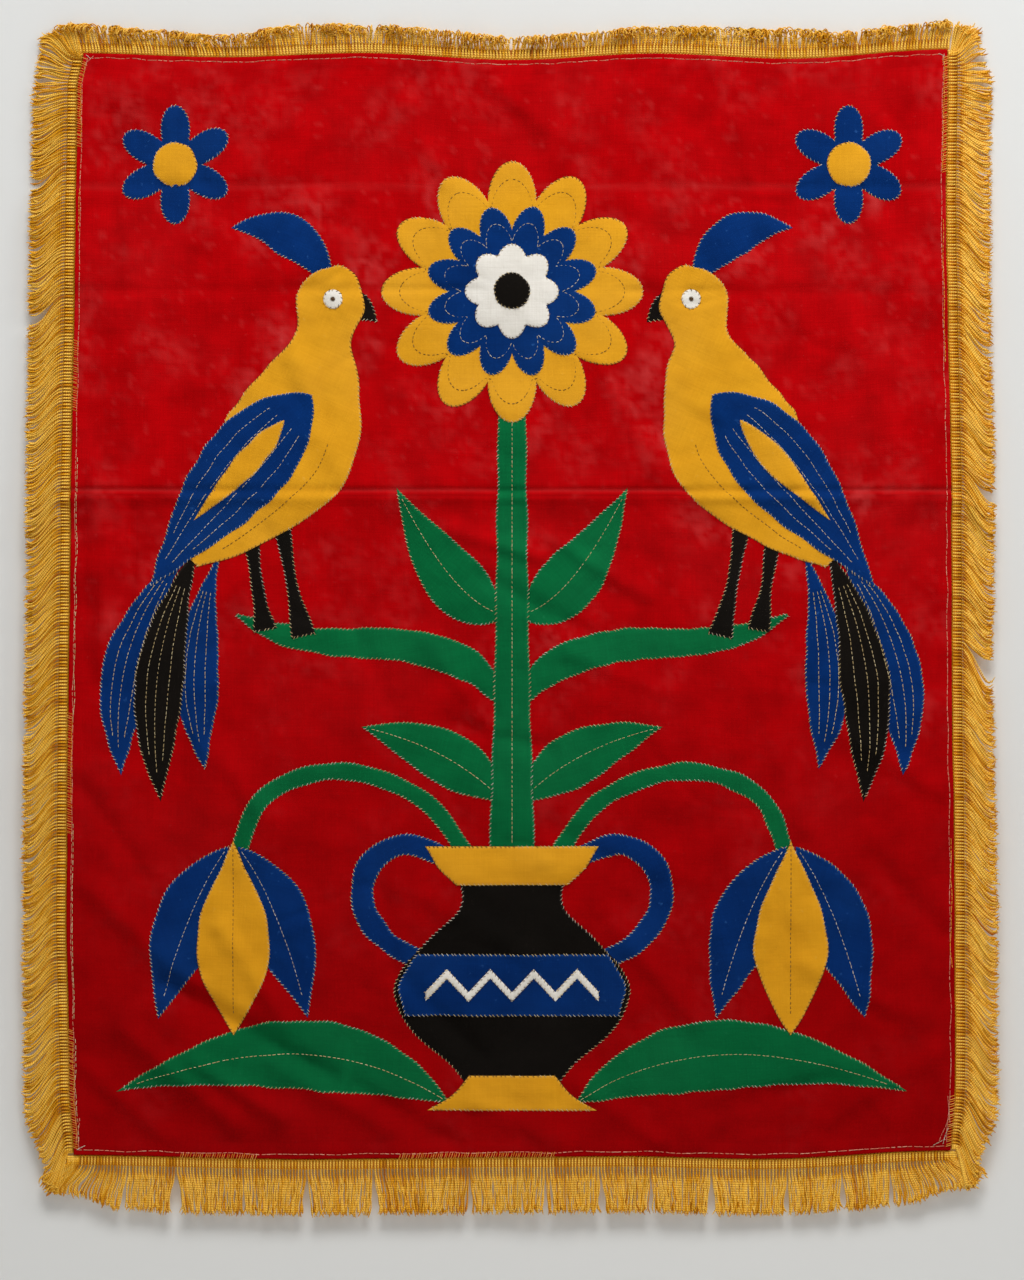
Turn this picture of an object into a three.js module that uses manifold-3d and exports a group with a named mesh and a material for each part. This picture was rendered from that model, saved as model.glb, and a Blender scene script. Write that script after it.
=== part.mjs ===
// An applique flag: a red cotton panel with cotton shapes sewn on in layers and a gold fringe
// on all four sides, hanging from its top hem.
// Millimetres. +X is to the right, +Z is up, and the front of the flag faces -Y.
// The origin is at the middle of the top hem, on the wall that the flag hangs against.

import * as THREE from 'three';
import { mergeVertices } from 'three/addons/utils/BufferGeometryUtils.js';
import Module from 'manifold-3d';

const wasm = await Module();
wasm.setup();

// The cloth and its layers
const CLOTH_WIDTH = 914;
const CLOTH_HEIGHT = 1147;
const MIDDLE_DEPTH = CLOTH_HEIGHT / 2;
const AIR = 0.3;
const HEADING_THICKNESS = 1.5;
const GROUND_THICKNESS = 1.5;
const SHAPE_THICKNESS = 1.0;
const HEADING_AIR = 0.9;
const GROUND_BACK = HEADING_THICKNESS + HEADING_AIR;
const GROUND_FRONT = GROUND_BACK + GROUND_THICKNESS;

// The fringe's woven heading
const HEADING_BEHIND_HEM = 8;
const HEADING_SHOWING = 11;
const HEADING_END = 441;
const TUFT_ROOT = 8;
const TUFT_SLOT = 0.4;
const STRAND_ROOT_THICKNESS = 3;
const STRAND_TIP_THICKNESS = 2;

// Finishes
const RED_COTTON = { colour: 0xa4060c, roughness: 0.86 };
const YELLOW_COTTON = { colour: 0xca8d1d, roughness: 0.84 };
const BLUE_COTTON = { colour: 0x05265a, roughness: 0.84 };
const GREEN_COTTON = { colour: 0x07512b, roughness: 0.84 };
const BLACK_COTTON = { colour: 0x100d0a, roughness: 0.82 };
const WHITE_COTTON = { colour: 0xe2ded4, roughness: 0.86 };
const GOLD_FRINGE = { colour: 0xd7a028, roughness: 0.55 };

// The top hem, held at four places and sagging between them: height of the hem and distance from the wall
const TOP_HEM = [
  { x: -453, z: 5, stand: 0.5 },
  { x: -298, z: 0, stand: 4 },
  { x: -157, z: 5, stand: 0.5 },
  { x: 3, z: -3, stand: 5 },
  { x: 147, z: 4.5, stand: 0.5 },
  { x: 290, z: -1.5, stand: 4 },
  { x: 455, z: 9, stand: 0.5 },
];

// The bottom hem
const BOTTOM_HEM = [
  { x: -454, z: -1140 },
  { x: -220, z: -1144 },
  { x: 116, z: -1141 },
  { x: 258, z: -1144 },
  { x: 455, z: -1135 },
];

// The side hems, by depth below the top
const SIDE_HEMS = [
  { depth: 0, left: -453, right: 454.5 },
  { depth: 155, left: -453.5, right: 451 },
  { depth: 475, left: -457.5, right: 456 },
  { depth: 720, left: -460, right: 456.5 },
  { depth: 900, left: -462, right: 458.5 },
  { depth: 1070, left: -459, right: 459 },
  { depth: 1147, left: -455, right: 455 },
];

// How far the hanging cloth stands off the wall, by depth below the top
const STAND_OFF = [
  { depth: 0, stand: 1 },
  { depth: 240, stand: 5 },
  { depth: 454, stand: 8 },
  { depth: 800, stand: 12 },
  { depth: 1147, stand: 8 },
];
const HEM_HOLD = 240;

// Folds: soft ridges along a line, each with its height and its half width
const FOLDS = [
  { fromX: -470, fromDepth: 454, toX: 470, toDepth: 454, height: 3, width: 24 },
  { fromX: -402, fromDepth: 211, toX: -402, toDepth: 605, height: 6, width: 36 },
  { fromX: 200, fromDepth: 117, toX: 257, toDepth: 356, height: 5, width: 40 },
  { fromX: -448, fromDepth: 605, toX: -365, toDepth: 979, height: 6, width: 38 },
  { fromX: 382, fromDepth: 564, toX: 450, toDepth: 1083, height: 6, width: 38 },
  { fromX: -85, fromDepth: 470, toX: 133, toDepth: 668, height: 4, width: 50 },
  { fromX: -386, fromDepth: 990, toX: -220, toDepth: 1104, height: 6, width: 36 },
  { fromX: 40, fromDepth: 1118, toX: 330, toDepth: 1050, height: 4, width: 34 },
];

// Where the cloth's grid is cut: columns across, and rows by depth with three at the sharp crease
const GRID_COLUMNS = 11;
const GRID_DEPTHS = [0, 60, 150, 250, 340, 424, 454, 484, 565, 660, 755, 850, 935, 1010, 1080, 1147];

// Tufts of the fringe, between stations along each hem. reach: how far the tips stand out from the
// hem; slide: how far they droop along it; gap: the opening between two tufts at their tips.
const LEFT_TUFTS = [
  { at: 2, reach: 46, slide: -17, gap: 0 },
  { at: 50, reach: 49, slide: 10, gap: 3 },
  { at: 112, reach: 49, slide: 21, gap: 7 },
  { at: 182, reach: 50, slide: 23, gap: 4 },
  { at: 252, reach: 50, slide: 26, gap: 8 },
  { at: 335, reach: 50, slide: 27, gap: 3 },
  { at: 419, reach: 49, slide: 25, gap: 3 },
  { at: 512, reach: 48, slide: 27, gap: 3 },
  { at: 606, reach: 48, slide: 27, gap: 3 },
  { at: 680, reach: 48, slide: 27, gap: 7 },
  { at: 772, reach: 48, slide: 27, gap: 4 },
  { at: 876, reach: 47, slide: 25, gap: 3 },
  { at: 979, reach: 48, slide: 25, gap: 3 },
  { at: 1062, reach: 50, slide: 31, gap: 3 },
  { at: 1132, reach: 31, slide: 34, gap: 0 },
];
const RIGHT_TUFTS = [
  { at: 2, reach: 34, slide: -19, gap: 0 },
  { at: 32, reach: 48, slide: 4, gap: 3 },
  { at: 97, reach: 48, slide: 17, gap: 3 },
  { at: 175, reach: 48, slide: 25, gap: 3 },
  { at: 284, reach: 47, slide: 29, gap: 8 },
  { at: 356, reach: 48, slide: 29, gap: 3 },
  { at: 439, reach: 47, slide: 29, gap: 9 },
  { at: 533, reach: 46, slide: 29, gap: 3 },
  { at: 618, reach: 44, slide: 33, gap: 18 },
  { at: 699, reach: 46, slide: 31, gap: 3 },
  { at: 792, reach: 46, slide: 29, gap: 3 },
  { at: 896, reach: 47, slide: 28, gap: 3 },
  { at: 990, reach: 46, slide: 29, gap: 3 },
  { at: 1067, reach: 47, slide: 33, gap: 3 },
  { at: 1130, reach: 30, slide: 34, gap: 0 },
];
const TOP_TUFTS = [
  { at: -452, reach: 29, slide: -8, gap: 0 },
  { at: -376, reach: 26, slide: -9, gap: 3 },
  { at: -308, reach: 22, slide: -9, gap: 7 },
  { at: -220, reach: 30, slide: -4, gap: 3 },
  { at: -157, reach: 28, slide: 0, gap: 3 },
  { at: -75, reach: 27, slide: 0, gap: 3 },
  { at: -4, reach: 23, slide: 0, gap: 9 },
  { at: 71, reach: 24, slide: 0, gap: 3 },
  { at: 143, reach: 27, slide: 2, gap: 3 },
  { at: 226, reach: 29, slide: 0, gap: 3 },
  { at: 299, reach: 30, slide: 0, gap: 3 },
  { at: 341, reach: 24, slide: 0, gap: 4 },
  { at: 403, reach: 26, slide: 4, gap: 3 },
  { at: 452, reach: 29, slide: 6, gap: 0 },
];
const BOTTOM_TUFTS = [
  { at: -450, reach: 42, slide: -18, gap: 0 },
  { at: -402, reach: 58, slide: -4, gap: 3 },
  { at: -349, reach: 60, slide: 0, gap: 10 },
  { at: -282, reach: 60, slide: 0, gap: 3 },
  { at: -213, reach: 60, slide: 0, gap: 8 },
  { at: -143, reach: 60, slide: 1, gap: 7 },
  { at: -44, reach: 60, slide: 0, gap: 6 },
  { at: 34, reach: 60, slide: 0, gap: 6 },
  { at: 91, reach: 60, slide: 1, gap: 6 },
  { at: 143, reach: 60, slide: 0, gap: 6 },
  { at: 209, reach: 60, slide: 0, gap: 7 },
  { at: 286, reach: 60, slide: 0, gap: 6 },
  { at: 344, reach: 59, slide: 0, gap: 6 },
  { at: 395, reach: 58, slide: 3, gap: 5 },
  { at: 450, reach: 42, slide: 18, gap: 0 },
];

// How a strand runs from the heading to its tip: shares of its reach and of its slide, and its
// distance in front of the heading
const STRAIGHT_RUN = [
  { out: 0, along: 0, forward: 0 },
  { out: 0.45, along: 0.14, forward: 1.5 },
  { out: 0.8, along: 0.54, forward: 3 },
  { out: 1, along: 1, forward: 3 },
];
const ARCHED_RUN = [
  { out: 0, along: 0, forward: 0 },
  { out: 0.7, along: 0.5, forward: 3 },
  { out: 1, along: 0.8, forward: 9 },
  { out: 0.86, along: 1, forward: 17 },
  { out: 0.4, along: 1, forward: 21 },
];

// Leaf shapes on the right half, in millimetres from the middle of the cloth: a curved middle line
// through root, bend and tip, the half width, and where along the line the leaf is widest
const LEAVES = [
  {
    name: 'leaf_upper', cloth: GREEN_COTTON, layer: 1, half: 31, widest: 0.45,
    root: [8, -6], bend: [62, 32], tip: [120, 126],
  },
  {
    name: 'leaf_lower', cloth: GREEN_COTTON, layer: 1, half: 28, widest: 0.45,
    root: [8, -200], bend: [72, -152], tip: [156, -122],
  },
  {
    name: 'leaf_base', cloth: GREEN_COTTON, layer: 1, half: 36, widest: 0.45,
    root: [66, -512], bend: [222, -462], tip: [410, -500],
  },
  {
    name: 'bell_inner', cloth: BLUE_COTTON, layer: 2, half: 34, widest: 0.5,
    root: [284, -246], bend: [244, -320], tip: [212, -424],
  },
  {
    name: 'bell_outer', cloth: BLUE_COTTON, layer: 2, half: 34, widest: 0.5,
    root: [294, -246], bend: [334, -320], tip: [366, -424],
  },
  {
    name: 'bell_middle', cloth: YELLOW_COTTON, layer: 3, half: 38, widest: 0.55,
    root: [289, -240], bend: [289, -338], tip: [289, -442],
  },
  {
    name: 'tail_outer', cloth: BLUE_COTTON, layer: 1, half: 25, widest: 0.6,
    root: [326, 74], bend: [392, -38], tip: [404, -172],
  },
  {
    name: 'tail_inner', cloth: BLUE_COTTON, layer: 1, half: 23, widest: 0.6,
    root: [300, 66], bend: [326, -46], tip: [318, -166],
  },
  {
    name: 'tail_middle', cloth: BLACK_COTTON, layer: 2, half: 25, widest: 0.6,
    root: [318, 78], bend: [362, -50], tip: [364, -200],
  },
  {
    name: 'beak', cloth: BLACK_COTTON, layer: 1, half: 14, widest: 0.3,
    root: [180, 326], bend: [156, 312], tip: [140, 298],
  },
  {
    name: 'crest', cloth: BLUE_COTTON, layer: 1, half: 22, widest: 0.5,
    root: [186, 330], bend: [228, 386], tip: [292, 396],
  },
  {
    name: 'wing', cloth: BLUE_COTTON, layer: 4, half: 45, widest: 0.4,
    root: [208, 222], bend: [290, 134], tip: [376, 22],
  },
  {
    name: 'wing_bar', cloth: YELLOW_COTTON, layer: 5, half: 13, widest: 0.45,
    root: [236, 196], bend: [276, 150], tip: [330, 92],
  },
];

// Band shapes: a smooth band through its sections, each a point on the middle line and a half width.
// Those marked paired are on the right half and are repeated on the left.
const BANDS = [
  {
    name: 'branch', cloth: GREEN_COTTON, layer: 1, paired: true,
    sections: [
      { x: 9, y: -94, half: 7 },
      { x: 46, y: -58, half: 17 },
      { x: 110, y: -38, half: 17 },
      { x: 190, y: -34, half: 14 },
      { x: 246, y: -24, half: 10 },
      { x: 286, y: -6, half: 1.5 },
    ],
  },
  {
    name: 'stem_arched', cloth: GREEN_COTTON, layer: 1, paired: true,
    sections: [
      { x: 38, y: -268, half: 9 },
      { x: 92, y: -198, half: 9 },
      { x: 178, y: -168, half: 9 },
      { x: 256, y: -194, half: 9 },
      { x: 289, y: -266, half: 9 },
    ],
  },
  {
    name: 'handle', cloth: BLUE_COTTON, layer: 1, paired: true,
    sections: [
      { x: 66, y: -258, half: 10 },
      { x: 112, y: -244, half: 11 },
      { x: 148, y: -266, half: 12 },
      { x: 154, y: -308, half: 12 },
      { x: 130, y: -344, half: 11 },
      { x: 92, y: -366, half: 10 },
    ],
  },
  {
    name: 'leg_front', cloth: BLACK_COTTON, layer: 2, paired: true,
    sections: [
      { x: 240, y: 96, half: 9 },
      { x: 228, y: 24, half: 6 },
      { x: 216, y: -28, half: 13 },
    ],
  },
  {
    name: 'leg_back', cloth: BLACK_COTTON, layer: 2, paired: true,
    sections: [
      { x: 272, y: 84, half: 9 },
      { x: 264, y: 24, half: 6 },
      { x: 256, y: -22, half: 12 },
    ],
  },
  {
    name: 'bird_body', cloth: YELLOW_COTTON, layer: 3, paired: true,
    sections: [
      { x: 178, y: 357, half: 3 },
      { x: 180, y: 346, half: 22 },
      { x: 188, y: 320, half: 36 },
      { x: 196, y: 282, half: 29 },
      { x: 206, y: 238, half: 50 },
      { x: 234, y: 167, half: 70 },
      { x: 290, y: 96, half: 42 },
      { x: 334, y: 52, half: 12 },
    ],
  },
  {
    name: 'trunk', cloth: GREEN_COTTON, layer: 2, paired: false,
    sections: [
      { x: 0, y: -268, half: 24 },
      { x: 0, y: -60, half: 18 },
      { x: 0, y: 235, half: 14 },
    ],
  },
  {
    name: 'vase_body', cloth: BLACK_COTTON, layer: 3, paired: false,
    sections: [
      { x: 0, y: -262, half: 64 },
      { x: 0, y: -306, half: 52 },
      { x: 0, y: -350, half: 94 },
      { x: 0, y: -392, half: 122 },
      { x: 0, y: -438, half: 104 },
      { x: 0, y: -474, half: 62 },
      { x: 0, y: -502, half: 42 },
    ],
  },
  {
    name: 'vase_foot', cloth: YELLOW_COTTON, layer: 4, paired: false,
    sections: [
      { x: 0, y: -484, half: 44 },
      { x: 0, y: -504, half: 62 },
      { x: 0, y: -520, half: 88 },
    ],
  },
  {
    name: 'vase_rim', cloth: YELLOW_COTTON, layer: 4, paired: false,
    sections: [
      { x: 0, y: -246, half: 90 },
      { x: 0, y: -266, half: 78 },
      { x: 0, y: -286, half: 58 },
    ],
  },
  {
    name: 'vase_band', cloth: BLUE_COTTON, layer: 4, paired: false,
    sections: [
      { x: 0, y: -358, half: 99 },
      { x: 0, y: -390, half: 118 },
      { x: 0, y: -422, half: 110 },
    ],
  },
];

// Round shapes with lobes. reach and waist are the radii at a lobe's tip and between two lobes,
// and roundness below 1 makes the lobes fuller.
const ROSETTES = [
  {
    name: 'flower_outer', cloth: YELLOW_COTTON, layer: 3, x: 0, y: 330, paired: false,
    reach: 136, waist: 97, lobes: 12, turn: 0, roundness: 0.8,
  },
  {
    name: 'flower_inner', cloth: BLUE_COTTON, layer: 4, x: 0, y: 330, paired: false,
    reach: 90, waist: 64, lobes: 12, turn: 15, roundness: 0.8,
  },
  {
    name: 'flower_heart', cloth: WHITE_COTTON, layer: 5, x: 0, y: 330, paired: false,
    reach: 49, waist: 38, lobes: 8, turn: 0, roundness: 1,
  },
  {
    name: 'flower_eye', cloth: BLACK_COTTON, layer: 6, x: 0, y: 330, paired: false,
    reach: 19, waist: 19, lobes: 4, turn: 0, roundness: 1,
  },
  {
    name: 'corner_flower', cloth: BLUE_COTTON, layer: 1, x: 350, y: 462, paired: true,
    reach: 62, waist: 28, lobes: 6, turn: 0, roundness: 1.1,
  },
  {
    name: 'corner_disc', cloth: YELLOW_COTTON, layer: 2, x: 350, y: 462, paired: true,
    reach: 23, waist: 23, lobes: 4, turn: 0, roundness: 1,
  },
  {
    name: 'bird_eye', cloth: WHITE_COTTON, layer: 4, x: 186, y: 322, paired: true,
    reach: 10, waist: 10, lobes: 3, turn: 0, roundness: 1,
  },
];

// The white zigzag on the vase's band
const ZIGZAG = {
  name: 'zigzag', cloth: WHITE_COTTON, layer: 5,
  y: -390, rise: 12, half: 5, spread: 90, turns: 8,
};

// How finely outlines are cut
const LEAF_STEPS = 8;
const STEPS_PER_SECTION = 2;
const STEPS_PER_LOBE = 3;
const PRISM_DEPTH = 90;
const MERGE_DISTANCE = 0.01;

const { lerp, smoothstep, degToRad } = THREE.MathUtils;

// A table's column, read smoothly between its rows
function readTable(table, key, column, at) {
  const last = table[table.length - 1];
  if (at <= table[0][key]) return table[0][column];
  if (at >= last[key]) return last[column];
  const next = table.findIndex((row) => row[key] > at);
  const before = table[next - 1];
  const after = table[next];
  const share = smoothstep(at, before[key], after[key]);
  return lerp(before[column], after[column], share);
}

// A fold's height at a place: a bell across the fold's line that fades past its two ends
function foldHeight(fold, x, depth) {
  const runX = fold.toX - fold.fromX;
  const runDepth = fold.toDepth - fold.fromDepth;
  const dot = (x - fold.fromX) * runX + (depth - fold.fromDepth) * runDepth;
  const along = dot / (runX ** 2 + runDepth ** 2);
  const share = THREE.MathUtils.clamp(along, 0, 1);
  const away = Math.hypot(x - fold.fromX - share * runX, depth - fold.fromDepth - share * runDepth);
  return fold.height * Math.exp(-((away / fold.width) ** 2));
}

// How far the back of the flag is from the wall at a place
function standOff(x, depth) {
  const held = readTable(TOP_HEM, 'x', 'stand', x);
  const free = readTable(STAND_OFF, 'depth', 'stand', depth);
  const folds = FOLDS.reduce((sum, fold) => sum + foldHeight(fold, x, depth), 0);
  return lerp(held, free + folds, smoothstep(depth, 0, HEM_HOLD));
}

// A place on the cloth, from a share across it and a depth below its top
function clothPlace(across, depth) {
  const left = readTable(SIDE_HEMS, 'depth', 'left', depth);
  const right = readTable(SIDE_HEMS, 'depth', 'right', depth);
  const x = lerp(left, right, across);
  const top = readTable(TOP_HEM, 'x', 'z', x);
  const bottom = readTable(BOTTOM_HEM, 'x', 'z', x);
  return { x, z: lerp(top, bottom, depth / CLOTH_HEIGHT), stand: standOff(x, depth) };
}

// The triangles of a closed shell: a grid of back points, the same grid of front points after
// them, and a wall all round
function shellIndex(rows, columns) {
  const index = [];
  const lastColumn = columns - 1;
  const lastRow = rows - 1;
  const layerSize = rows * columns;
  const back = (row, column) => row * columns + column;
  const quad = (a, b, c, d) => index.push(a, b, c, a, c, d);
  const wall = (a, b) => quad(a, b, b + layerSize, a + layerSize);
  for (let row = 0; row < lastRow; row += 1) {
    for (let column = 0; column < lastColumn; column += 1) {
      const corner = back(row, column);
      const below = corner + columns;
      quad(corner, corner + 1, below + 1, below);
      quad(corner + layerSize, below + layerSize, below + 1 + layerSize, corner + 1 + layerSize);
    }
    wall(back(row, 0), back(row + 1, 0));
    wall(back(row + 1, lastColumn), back(row, lastColumn));
  }
  for (let column = 0; column < lastColumn; column += 1) {
    wall(back(0, column + 1), back(0, column));
    wall(back(lastRow, column), back(lastRow, column + 1));
  }
  return index;
}

// A closed mesh between two grids of points
function shellGeometry(backRows, frontRows) {
  const points = [...backRows.flat(), ...frontRows.flat()];
  const geometry = new THREE.BufferGeometry();
  geometry.setAttribute('position', new THREE.Float32BufferAttribute(points.flat(), 3));
  geometry.setIndex(shellIndex(backRows.length, backRows[0].length));
  return geometry;
}

// The cloth's grid of places, by rows of depth and columns across
const GRID_ACROSS = Array.from({ length: GRID_COLUMNS }, (_, column) => column / (GRID_COLUMNS - 1));
const CLOTH_GRID = GRID_DEPTHS.map((depth) => GRID_ACROSS.map((across) => clothPlace(across, depth)));

// A layer of cloth over the whole flag, between two distances in front of its back surface
function clothLayer(back, front) {
  const points = (row, distance) => row.map(({ x, z, stand }) => [x, -(stand + distance), z]);
  const sheet = (distance) => CLOTH_GRID.map((row) => points(row, distance));
  return shellGeometry(sheet(back), sheet(front));
}

// Which stretch of a rising list a value falls in, and how far along that stretch
function stretchOf(list, value) {
  const next = list.findIndex((entry) => entry > value);
  const start = next === -1 ? list.length - 2 : Math.max(next - 1, 0);
  return { start, share: (value - list[start]) / (list[start + 1] - list[start]) };
}

// A place on the grid's own flat stretches
function gridPlace(across, depth) {
  const row = stretchOf(GRID_DEPTHS, depth);
  const column = stretchOf(GRID_ACROSS, across);
  const read = (key) => {
    const onRow = (line) => lerp(line[column.start][key], line[column.start + 1][key], column.share);
    return lerp(onRow(CLOTH_GRID[row.start]), onRow(CLOTH_GRID[row.start + 1]), row.share);
  };
  return { x: read('x'), z: read('z'), stand: read('stand') };
}

// A closed mesh as a solid that can be cut and joined
function toSolid(geometry) {
  const bare = geometry.clone();
  bare.deleteAttribute('normal');
  bare.deleteAttribute('uv');
  const merged = mergeVertices(bare);
  const mesh = new wasm.Mesh({
    numProp: 3,
    vertProperties: new Float32Array(merged.attributes.position.array),
    triVerts: new Uint32Array(merged.index.array),
  });
  return new wasm.Manifold(mesh);
}

// A solid as a mesh's geometry
function fromSolid(solid) {
  const mesh = solid.simplify(MERGE_DISTANCE).getMesh();
  const geometry = new THREE.BufferGeometry();
  geometry.setAttribute('position', new THREE.BufferAttribute(new Float32Array(mesh.vertProperties), 3));
  geometry.setIndex(new THREE.BufferAttribute(new Uint32Array(mesh.triVerts), 1));
  geometry.computeVertexNormals();
  return geometry;
}

// A named mesh in its cloth's colour
function sewnPiece(name, geometry, cloth) {
  const material = new THREE.MeshStandardMaterial({
    color: cloth.colour,
    roughness: cloth.roughness,
    metalness: 0,
  });
  const mesh = new THREE.Mesh(geometry, material);
  mesh.name = name;
  return mesh;
}

// The two sides of a band, from points on its middle line that each hold a half width
function bandOutline(points) {
  const side = (sign) => points.map((point, i) => {
    const before = points[Math.max(i - 1, 0)];
    const after = points[Math.min(i + 1, points.length - 1)];
    const length = Math.hypot(after.x - before.x, after.y - before.y);
    const normalX = -(after.y - before.y) / length;
    const normalY = (after.x - before.x) / length;
    return new THREE.Vector2(point.x + sign * point.half * normalX, point.y + sign * point.half * normalY);
  });
  return [...side(1), ...side(-1).reverse()];
}

// A leaf: a parabola through root, bend and tip, with its width rising and falling as half a sine
function leafOutline(leaf) {
  const skew = Math.log(0.5) / Math.log(leaf.widest);
  const points = Array.from({ length: LEAF_STEPS + 1 }, (_, step) => {
    const t = step / LEAF_STEPS;
    const [atRoot, atBend, atTip] = [(1 - t) * (1 - 2 * t), 4 * t * (1 - t), t * (2 * t - 1)];
    const blend = (axis) => atRoot * leaf.root[axis] + atBend * leaf.bend[axis] + atTip * leaf.tip[axis];
    return { x: blend(0), y: blend(1), half: leaf.half * Math.sin(Math.PI * t ** skew) };
  });
  const outline = bandOutline(points);
  const isEnd = (i) => i === outline.length - 1 || i === LEAF_STEPS + 1;
  return outline.filter((_, i) => !isEnd(i));
}

// A band: one smooth curve through the sections carries the middle line and the half width together
function sectionOutline(band) {
  const knots = band.sections.map(({ x, y, half }) => new THREE.Vector3(x, y, half));
  const curve = new THREE.CatmullRomCurve3(knots, false, 'catmullrom', 0.5);
  const steps = (knots.length - 1) * STEPS_PER_SECTION;
  const points = Array.from({ length: steps + 1 }, (_, step) => {
    const { x, y, z } = curve.getPoint(step / steps);
    return { x, y, half: z };
  });
  return bandOutline(points);
}

// A rosette: its radius swings between waist and reach once for each lobe
function rosetteOutline(rosette) {
  const steps = rosette.lobes * STEPS_PER_LOBE;
  return Array.from({ length: steps }, (_, step) => {
    const angle = (2 * Math.PI * step) / steps;
    const swing = Math.abs(Math.cos((rosette.lobes * (angle - degToRad(rosette.turn))) / 2));
    const radius = lerp(rosette.waist, rosette.reach, swing ** rosette.roundness);
    return new THREE.Vector2(rosette.x + radius * Math.sin(angle), rosette.y + radius * Math.cos(angle));
  });
}

// A zigzag strip of even thickness
function zigzagOutline(zigzag) {
  const corners = Array.from({ length: zigzag.turns + 1 }, (_, i) => {
    const x = lerp(-zigzag.spread, zigzag.spread, i / zigzag.turns);
    const side = i % 2 === 0 ? -1 : 1;
    return new THREE.Vector2(x, zigzag.y + side * zigzag.rise);
  });
  const upper = corners.map(({ x, y }) => new THREE.Vector2(x, y + zigzag.half));
  const lower = corners.map(({ x, y }) => new THREE.Vector2(x, y - zigzag.half));
  return [...upper, ...lower.reverse()];
}

// A cut shape as a cloth piece in its layer, on the flag's folds
function shapePiece(name, shape, outline, mirrored, layers) {
  const side = mirrored ? -1 : 1;
  const points = outline.map(({ x, y }) => new THREE.Vector2(side * x, y - MIDDLE_DEPTH));
  const cut = { depth: PRISM_DEPTH, bevelEnabled: false };
  const prism = new THREE.ExtrudeGeometry(new THREE.Shape(points), cut);
  prism.rotateX(Math.PI / 2);
  const solid = layers[shape.layer - 1].intersect(toSolid(prism));
  return sewnPiece(name, fromSolid(solid), shape.cloth);
}

// One piece for a shape in the middle, or two for a paired one
function shapePieces(shape, outline, paired, layers) {
  if (!paired) return [shapePiece(shape.name, shape, outline, false, layers)];
  return [
    shapePiece(`${shape.name}_right`, shape, outline, false, layers),
    shapePiece(`${shape.name}_left`, shape, outline, true, layers),
  ];
}

// The share across the cloth at a distance from its middle
const acrossAt = (x) => x / CLOTH_WIDTH + 0.5;

// The four hems: a place at or inside the hem, the ways out of it and along it, and where its
// heading is cut
const GRID_XS = GRID_ACROSS.map((across) => (across - 0.5) * CLOTH_WIDTH);
const HEADING_XS = [-HEADING_END, ...GRID_XS.slice(1, -1), HEADING_END];
const HEMS = {
  left: {
    place: (at, inside) => gridPlace(inside / CLOTH_WIDTH, at),
    out: { x: -1, z: 0 },
    along: { x: 0, z: -1 },
    stops: GRID_DEPTHS,
  },
  right: {
    place: (at, inside) => gridPlace(1 - inside / CLOTH_WIDTH, at),
    out: { x: 1, z: 0 },
    along: { x: 0, z: -1 },
    stops: GRID_DEPTHS,
  },
  top: {
    place: (at, inside) => gridPlace(acrossAt(at), inside),
    out: { x: 0, z: 1 },
    along: { x: 1, z: 0 },
    stops: HEADING_XS,
  },
  bottom: {
    place: (at, inside) => gridPlace(acrossAt(at), CLOTH_HEIGHT - inside),
    out: { x: 0, z: -1 },
    along: { x: 1, z: 0 },
    stops: HEADING_XS,
  },
};

// A point out from a hem and along it, at a distance in front of the cloth's back surface.
// A point inside the hem follows the cloth.
function beside(hem, at, out, along, distance) {
  const { x, z, stand } = hem.place(at, Math.max(-out, 0));
  const beyond = Math.max(out, 0);
  return [
    x + beyond * hem.out.x + along * hem.along.x,
    -(stand + distance),
    z + beyond * hem.out.z + along * hem.along.z,
  ];
}

// A closed mesh from two grids, turned so that its faces point out
function combPart(backRows, frontRows) {
  const solid = toSolid(shellGeometry(backRows, frontRows));
  if (solid.volume() > 0) return solid;
  const turned = (rows) => rows.map((row) => [...row].reverse());
  return toSolid(shellGeometry(turned(backRows), turned(frontRows)));
}

// The woven heading of one fringe, a strip from behind the hem to just past it
function heading(hem) {
  const lines = [-HEADING_BEHIND_HEM, 0, HEADING_SHOWING];
  const strip = (distance) => hem.stops.map((at) => lines.map((out) => beside(hem, at, out, 0, distance)));
  return combPart(strip(0), strip(HEADING_THICKNESS));
}

// The edge of a tuft at a station, seen from the end of the hem: out from the hem and forward. It is
// the run itself at lift 0, and the run moved square to its way by the strands' thickness at lift 1.
function tuftEdge(station, run, lift) {
  const reachAt = (out) => lerp(TUFT_ROOT, station.reach, out);
  const path = run.map(({ out, forward }) => new THREE.Vector2(reachAt(out), forward));
  return path.map((point, i) => {
    const before = path[Math.max(i - 1, 0)];
    const after = path[Math.min(i + 1, path.length - 1)];
    const way = after.clone().sub(before).normalize();
    const thickness = lerp(STRAND_ROOT_THICKNESS, STRAND_TIP_THICKNESS, i / (path.length - 1));
    return { out: point.x - lift * thickness * way.y, forward: point.y + lift * thickness * way.x };
  });
}

// One tuft of strands between two stations, from inside the heading out to the tips
function tuft(hem, first, second, run) {
  const line = (station, sign, lift) => tuftEdge(station, run, lift).map(({ out, forward }, i) => {
    const share = i / (run.length - 1);
    const at = station.at + (sign * (TUFT_SLOT + station.gap * share)) / 2;
    return beside(hem, at, out, station.slide * run[i].along, forward);
  });
  const side = (lift) => [line(first, 1, lift), line(second, -1, lift)];
  return combPart(side(0), side(1));
}

// One fringe: its heading and all its tufts, joined into one comb
function fringe(name, hem, tufts, run) {
  const combs = tufts.slice(1).map((station, i) => tuft(hem, tufts[i], station, run));
  const comb = combs.reduce((joined, part) => joined.add(part), heading(hem));
  return sewnPiece(name, fromSolid(comb), GOLD_FRINGE);
}

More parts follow.
